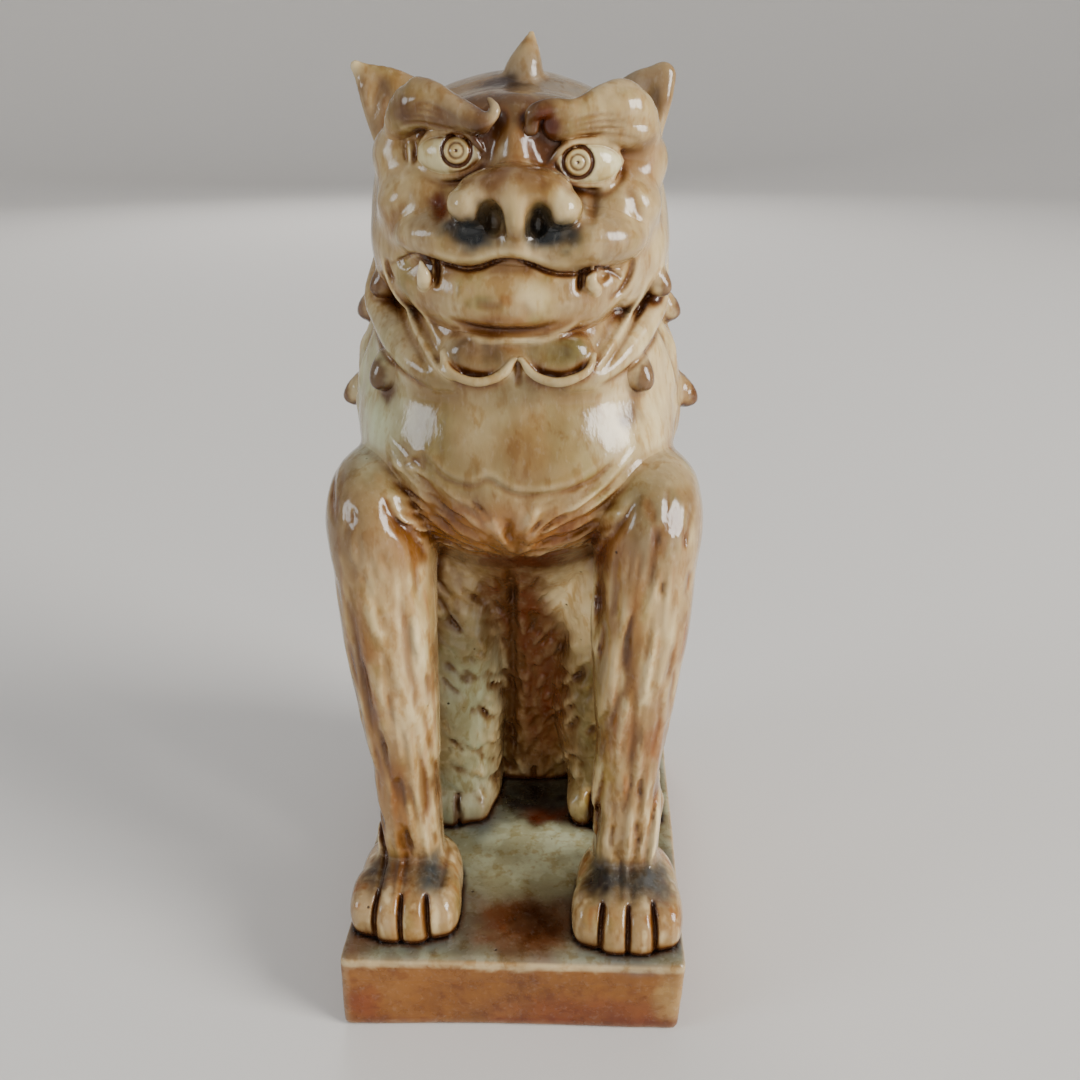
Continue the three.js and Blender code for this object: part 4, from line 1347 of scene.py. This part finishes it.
def make_object(name, carved, painter, material, node):
    """The finished mesh of one piece, with its glaze painted on its vertices."""
    vertices, quads, beyond = carved
    mesh = bpy.data.meshes.new(name)
    mesh.vertices.add(len(vertices))
    mesh.vertices.foreach_set("co", (vertices / 1000).astype(F).ravel())
    mesh.loops.add(len(quads) * 4)
    mesh.loops.foreach_set("vertex_index", quads.astype(np.int32).ravel())
    mesh.polygons.add(len(quads))
    mesh.polygons.foreach_set("loop_start", np.arange(0, len(quads) * 4, 4, dtype=np.int32))
    mesh.update(calc_edges=True)
    made = bpy.data.objects.new(name, mesh)
    bpy.context.scene.collection.objects.link(made)
    thin_hidden(made, quads, beyond)
    mesh = made.data
    mesh.name = name
    mesh.polygons.foreach_set("use_smooth", np.ones(len(mesh.polygons), bool))
    points = np.empty(len(mesh.vertices) * 3, F)
    mesh.vertices.foreach_get("co", points)
    colour = painter(points.reshape(-1, 3) * 1000)
    layer = mesh.color_attributes.new("glaze", "FLOAT_COLOR", "POINT")
    rgba = np.ones((len(mesh.vertices), 4), F)
    rgba[:, :3] = np.clip(colour, 0.002, 0.95)
    layer.data.foreach_set("color", rgba.ravel())
    mesh.materials.append(material)
    mesh.update()
    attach(made, "root")
    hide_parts(node)


BODY_GLAZE = glaze_material("body_glaze")
WET_GLAZE = glaze_material("wet_glaze", gloss=0.09, spots=0.5)
PLINTH_GLAZE = glaze_material("plinth_glaze", gloss=0.2, bare=0.2, run=1.0)


def kind_of(node):
    """What is special about the paint of a piece."""
    for kind in ("mane", "eye", "fang"):
        if kind in node:
            return kind
    return "body"


BUMPS = [(11, 0.38, 1), (4.2, 0.17, 2)]  # the clay's unevenness: how wide, how high, and the noise's seed
for key, grid in GRIDS.items():
    fields = Fields(grid, [parts for _, parts, _ in PIECES], LAYERS, CUTS, BUMPS, BODY, PLINTH_TOP)
    for index, (node, parts, where) in enumerate(PIECES):
        if where == key:
            kind = kind_of(node)
            material = WET_GLAZE if kind in ("eye", "fang") or node == "nose" else BODY_GLAZE
            name = "glazed_" + node.removesuffix("_shell")
            make_object(name, carve_piece(fields, index, parts),
                        lambda points: paint_figure(fields, points, kind), material, node)
    del fields


# ---- The plinth ------------------------------------------
WALL, UNDER = 9.0, 19.0  # the thickness of the walls, and the height of the top slab's underside
VENT_Y, VENT_RADIUS = 39, 12
PLINTH_STEP, PLINTH_DIVE = 1.15, 0.05  # how far apart its samples are, and how fast its pieces dive


def skewed(shape):
    """A shape drawn square, as it came out of the mould: its front a little askew, its sides leaning in."""
    def at(x, y, z):
        low = 1 - z / F(PLINTH_TOP)
        ahead = np.clip(-y / F(LONG), 0, 1)
        left = np.clip(x / F(WIDE), 0, 1) ** 2
        right = np.clip(-x / F(WIDE), 0, 1) ** 2
        return shape.at(x * (1 + F(0.035) * low * ahead * left),
                        y + ahead * (F(1.6) * low * right - F(0.016) * x + F(0.4)), z)
    return Shape(shape.low - 3, shape.high + 3, at)


def behind(*faces):
    """The part of space behind all of some planes (axis, side, place)."""
    def at(x, y, z):
        distances = [((x, y, z)[axis] - F(place)) * F(side) for axis, side, place in faces]
        return np.maximum.reduce(np.broadcast_arrays(*distances))
    return Shape((-WIDE - 3, -LONG - 4, -1), (WIDE + 3, LONG + 3, PLINTH_TOP + 2), at)


def plinth():
    """The top slab and the four walls, cut from one hollow block with a vent in it."""
    grid = Grid.between((-61, -87, -4), (61, 86, 33), PLINTH_STEP)
    below = (2, 1, UNDER)
    between = ((1, -1, WALL - LONG), (1, 1, LONG - WALL))
    slabs = {
        "top_slab": behind((2, -1, UNDER)),
        "front_wall": behind(below, (1, 1, WALL - LONG)),
        "back_wall": behind(below, (1, -1, LONG - WALL)),
        "right_wall": behind(below, (0, 1, WALL - WIDE), *between),
        "left_wall": behind(below, (0, -1, WIDE - WALL), *between),
    }
    pieces = [[(shape, 1)] for shape in slabs.values()]
    fields = Fields(grid, pieces)
    body = skewed(slab((-WIDE, -LONG, 0), (WIDE, LONG, PLINTH_TOP), 2.2))
    hollow = slab((WALL - WIDE, WALL - LONG, -20), (WIDE - WALL, LONG - WALL, UNDER), 3)
    x, y, z = (a.reshape([-1 if i == k else 1 for i in range(3)]) for k, a in enumerate(grid.axes))
    whole = -melt(-body.at(x, y, z), hollow.at(x, y, z), F(2))
    vent = np.maximum(np.hypot(x, y - VENT_Y) - VENT_RADIUS, np.abs(z - 20) - 14)
    uneven = lumps(grid, 16, 4) * F(0.3) + lumps(grid, 5, 5) * F(0.1)
    fields.whole = (-melt(-whole, vent, F(1.5)) + uneven).astype(F)
    # The figure shelters the plinth too, so the painted shade darkens the top round its feet.
    fields.near = fields.whole.copy()
    for _, parts, _ in PIECES:
        found = grid.piece(parts)
        if found:
            fields.near[found[0]] = np.minimum(fields.near[found[0]], found[1])
    for index, name in enumerate(slabs):
        vertices, quads, beyond = carve_piece(fields, index, pieces[index], PLINTH_DIVE)
        vertices[:, 2] = np.maximum(vertices[:, 2], 0)
        make_object("glazed_plinth_" + name.split("_")[0], (vertices, quads, beyond),
                    lambda points: paint_plinth(fields, points), PLINTH_GLAZE, "plinth_" + name)


plinth()


# ---- Floor, light and camera -----------------------------
def plain_material(name, colour, roughness):
    """One even colour."""
    material = bpy.data.materials.new(name)
    material.use_nodes = True
    shader = material.node_tree.nodes["Principled BSDF"]
    shader.inputs["Base Color"].default_value = (*colour, 1)
    shader.inputs["Roughness"].default_value = roughness
    return material


def studio(radius=5.0, bend=1.6, height=3.6, turns=96):
    """A round floor that curves up into a wall, all in one sheet."""
    profile = [(radius - bend + bend * math.sin(a), bend - bend * math.cos(a))
               for a in np.linspace(0, math.pi / 2, 20)] + [(radius, height)]
    rim = [(math.cos(2 * math.pi * k / turns), math.sin(2 * math.pi * k / turns)) for k in range(turns)]
    points = [(0, 0, 0)] + [(r * c, r * s, h) for r, h in profile for c, s in rim]
    faces = [(0, 1 + k, 1 + (k + 1) % turns) for k in range(turns)]
    for row in range(len(profile) - 1):
        a, b = 1 + row * turns, 1 + (row + 1) * turns
        faces += [(a + k, b + k, b + (k + 1) % turns, a + (k + 1) % turns) for k in range(turns)]
    mesh = bpy.data.meshes.new("floor")
    mesh.from_pydata(points, [], faces)
    mesh.polygons.foreach_set("use_smooth", np.ones(len(faces), bool))
    mesh.materials.append(plain_material("floor", (0.66, 0.64, 0.61), 0.7))
    made = bpy.data.objects.new("floor", mesh)
    bpy.context.scene.collection.objects.link(made)


studio()


def area_light(name, place, target, size, power, colour, shine=True):
    """A soft oval light. Without shine it leaves no reflection on the glaze."""
    light = bpy.data.lights.new(name, "AREA")
    light.shape, light.size, light.size_y = "ELLIPSE", size[0], size[1]
    light.energy, light.color = power, colour
    made = bpy.data.objects.new(name, light)
    made.location = place
    made.rotation_euler = (Vector(target) - Vector(place)).to_track_quat("-Z", "Y").to_euler()
    made.visible_camera, made.visible_glossy = False, shine
    bpy.context.scene.collection.objects.link(made)


MIDDLE = (0, -0.02, 0.16)
area_light("window", (2.7, -1.1, 1.25), MIDDLE, (1.5, 2.1), 170, (1.0, 0.98, 0.94))
area_light("fill", (-2.6, -1.1, 1.1), MIDDLE, (1.2, 1.2), 27, (0.86, 0.94, 1.0))
area_light("front", (0.1, -3.2, 0.8), MIDDLE, (2.0, 1.2), 30, (1, 1, 1), shine=False)
area_light("back", (-0.5, 2.8, 1.6), MIDDLE, (1.6, 1.6), 40, (1, 0.98, 0.96), shine=False)

world = bpy.data.worlds.new("studio")
bpy.context.scene.world = world
world.use_nodes = True
world.node_tree.nodes["Background"].inputs[0].default_value = (0.93, 0.94, 1.0, 1)
world.node_tree.nodes["Background"].inputs[1].default_value = 0.38

PITCH, HEADING, ROLL = math.radians(90 - 22.88), math.radians(3.19), math.radians(-0.49)
camera = bpy.data.cameras.new("camera")
camera.lens, camera.sensor_width = 34.6, 36
camera.clip_start, camera.clip_end = 0.02, 20
viewer = bpy.data.objects.new("camera", camera)
viewer.location = (0.0245, -0.3334, 0.282)
aim = Euler((PITCH, 0, HEADING)).to_matrix()
viewer.rotation_euler = (aim @ Matrix.Rotation(ROLL, 3, "Z")).to_euler()
bpy.context.scene.collection.objects.link(viewer)
bpy.context.scene.camera = viewer
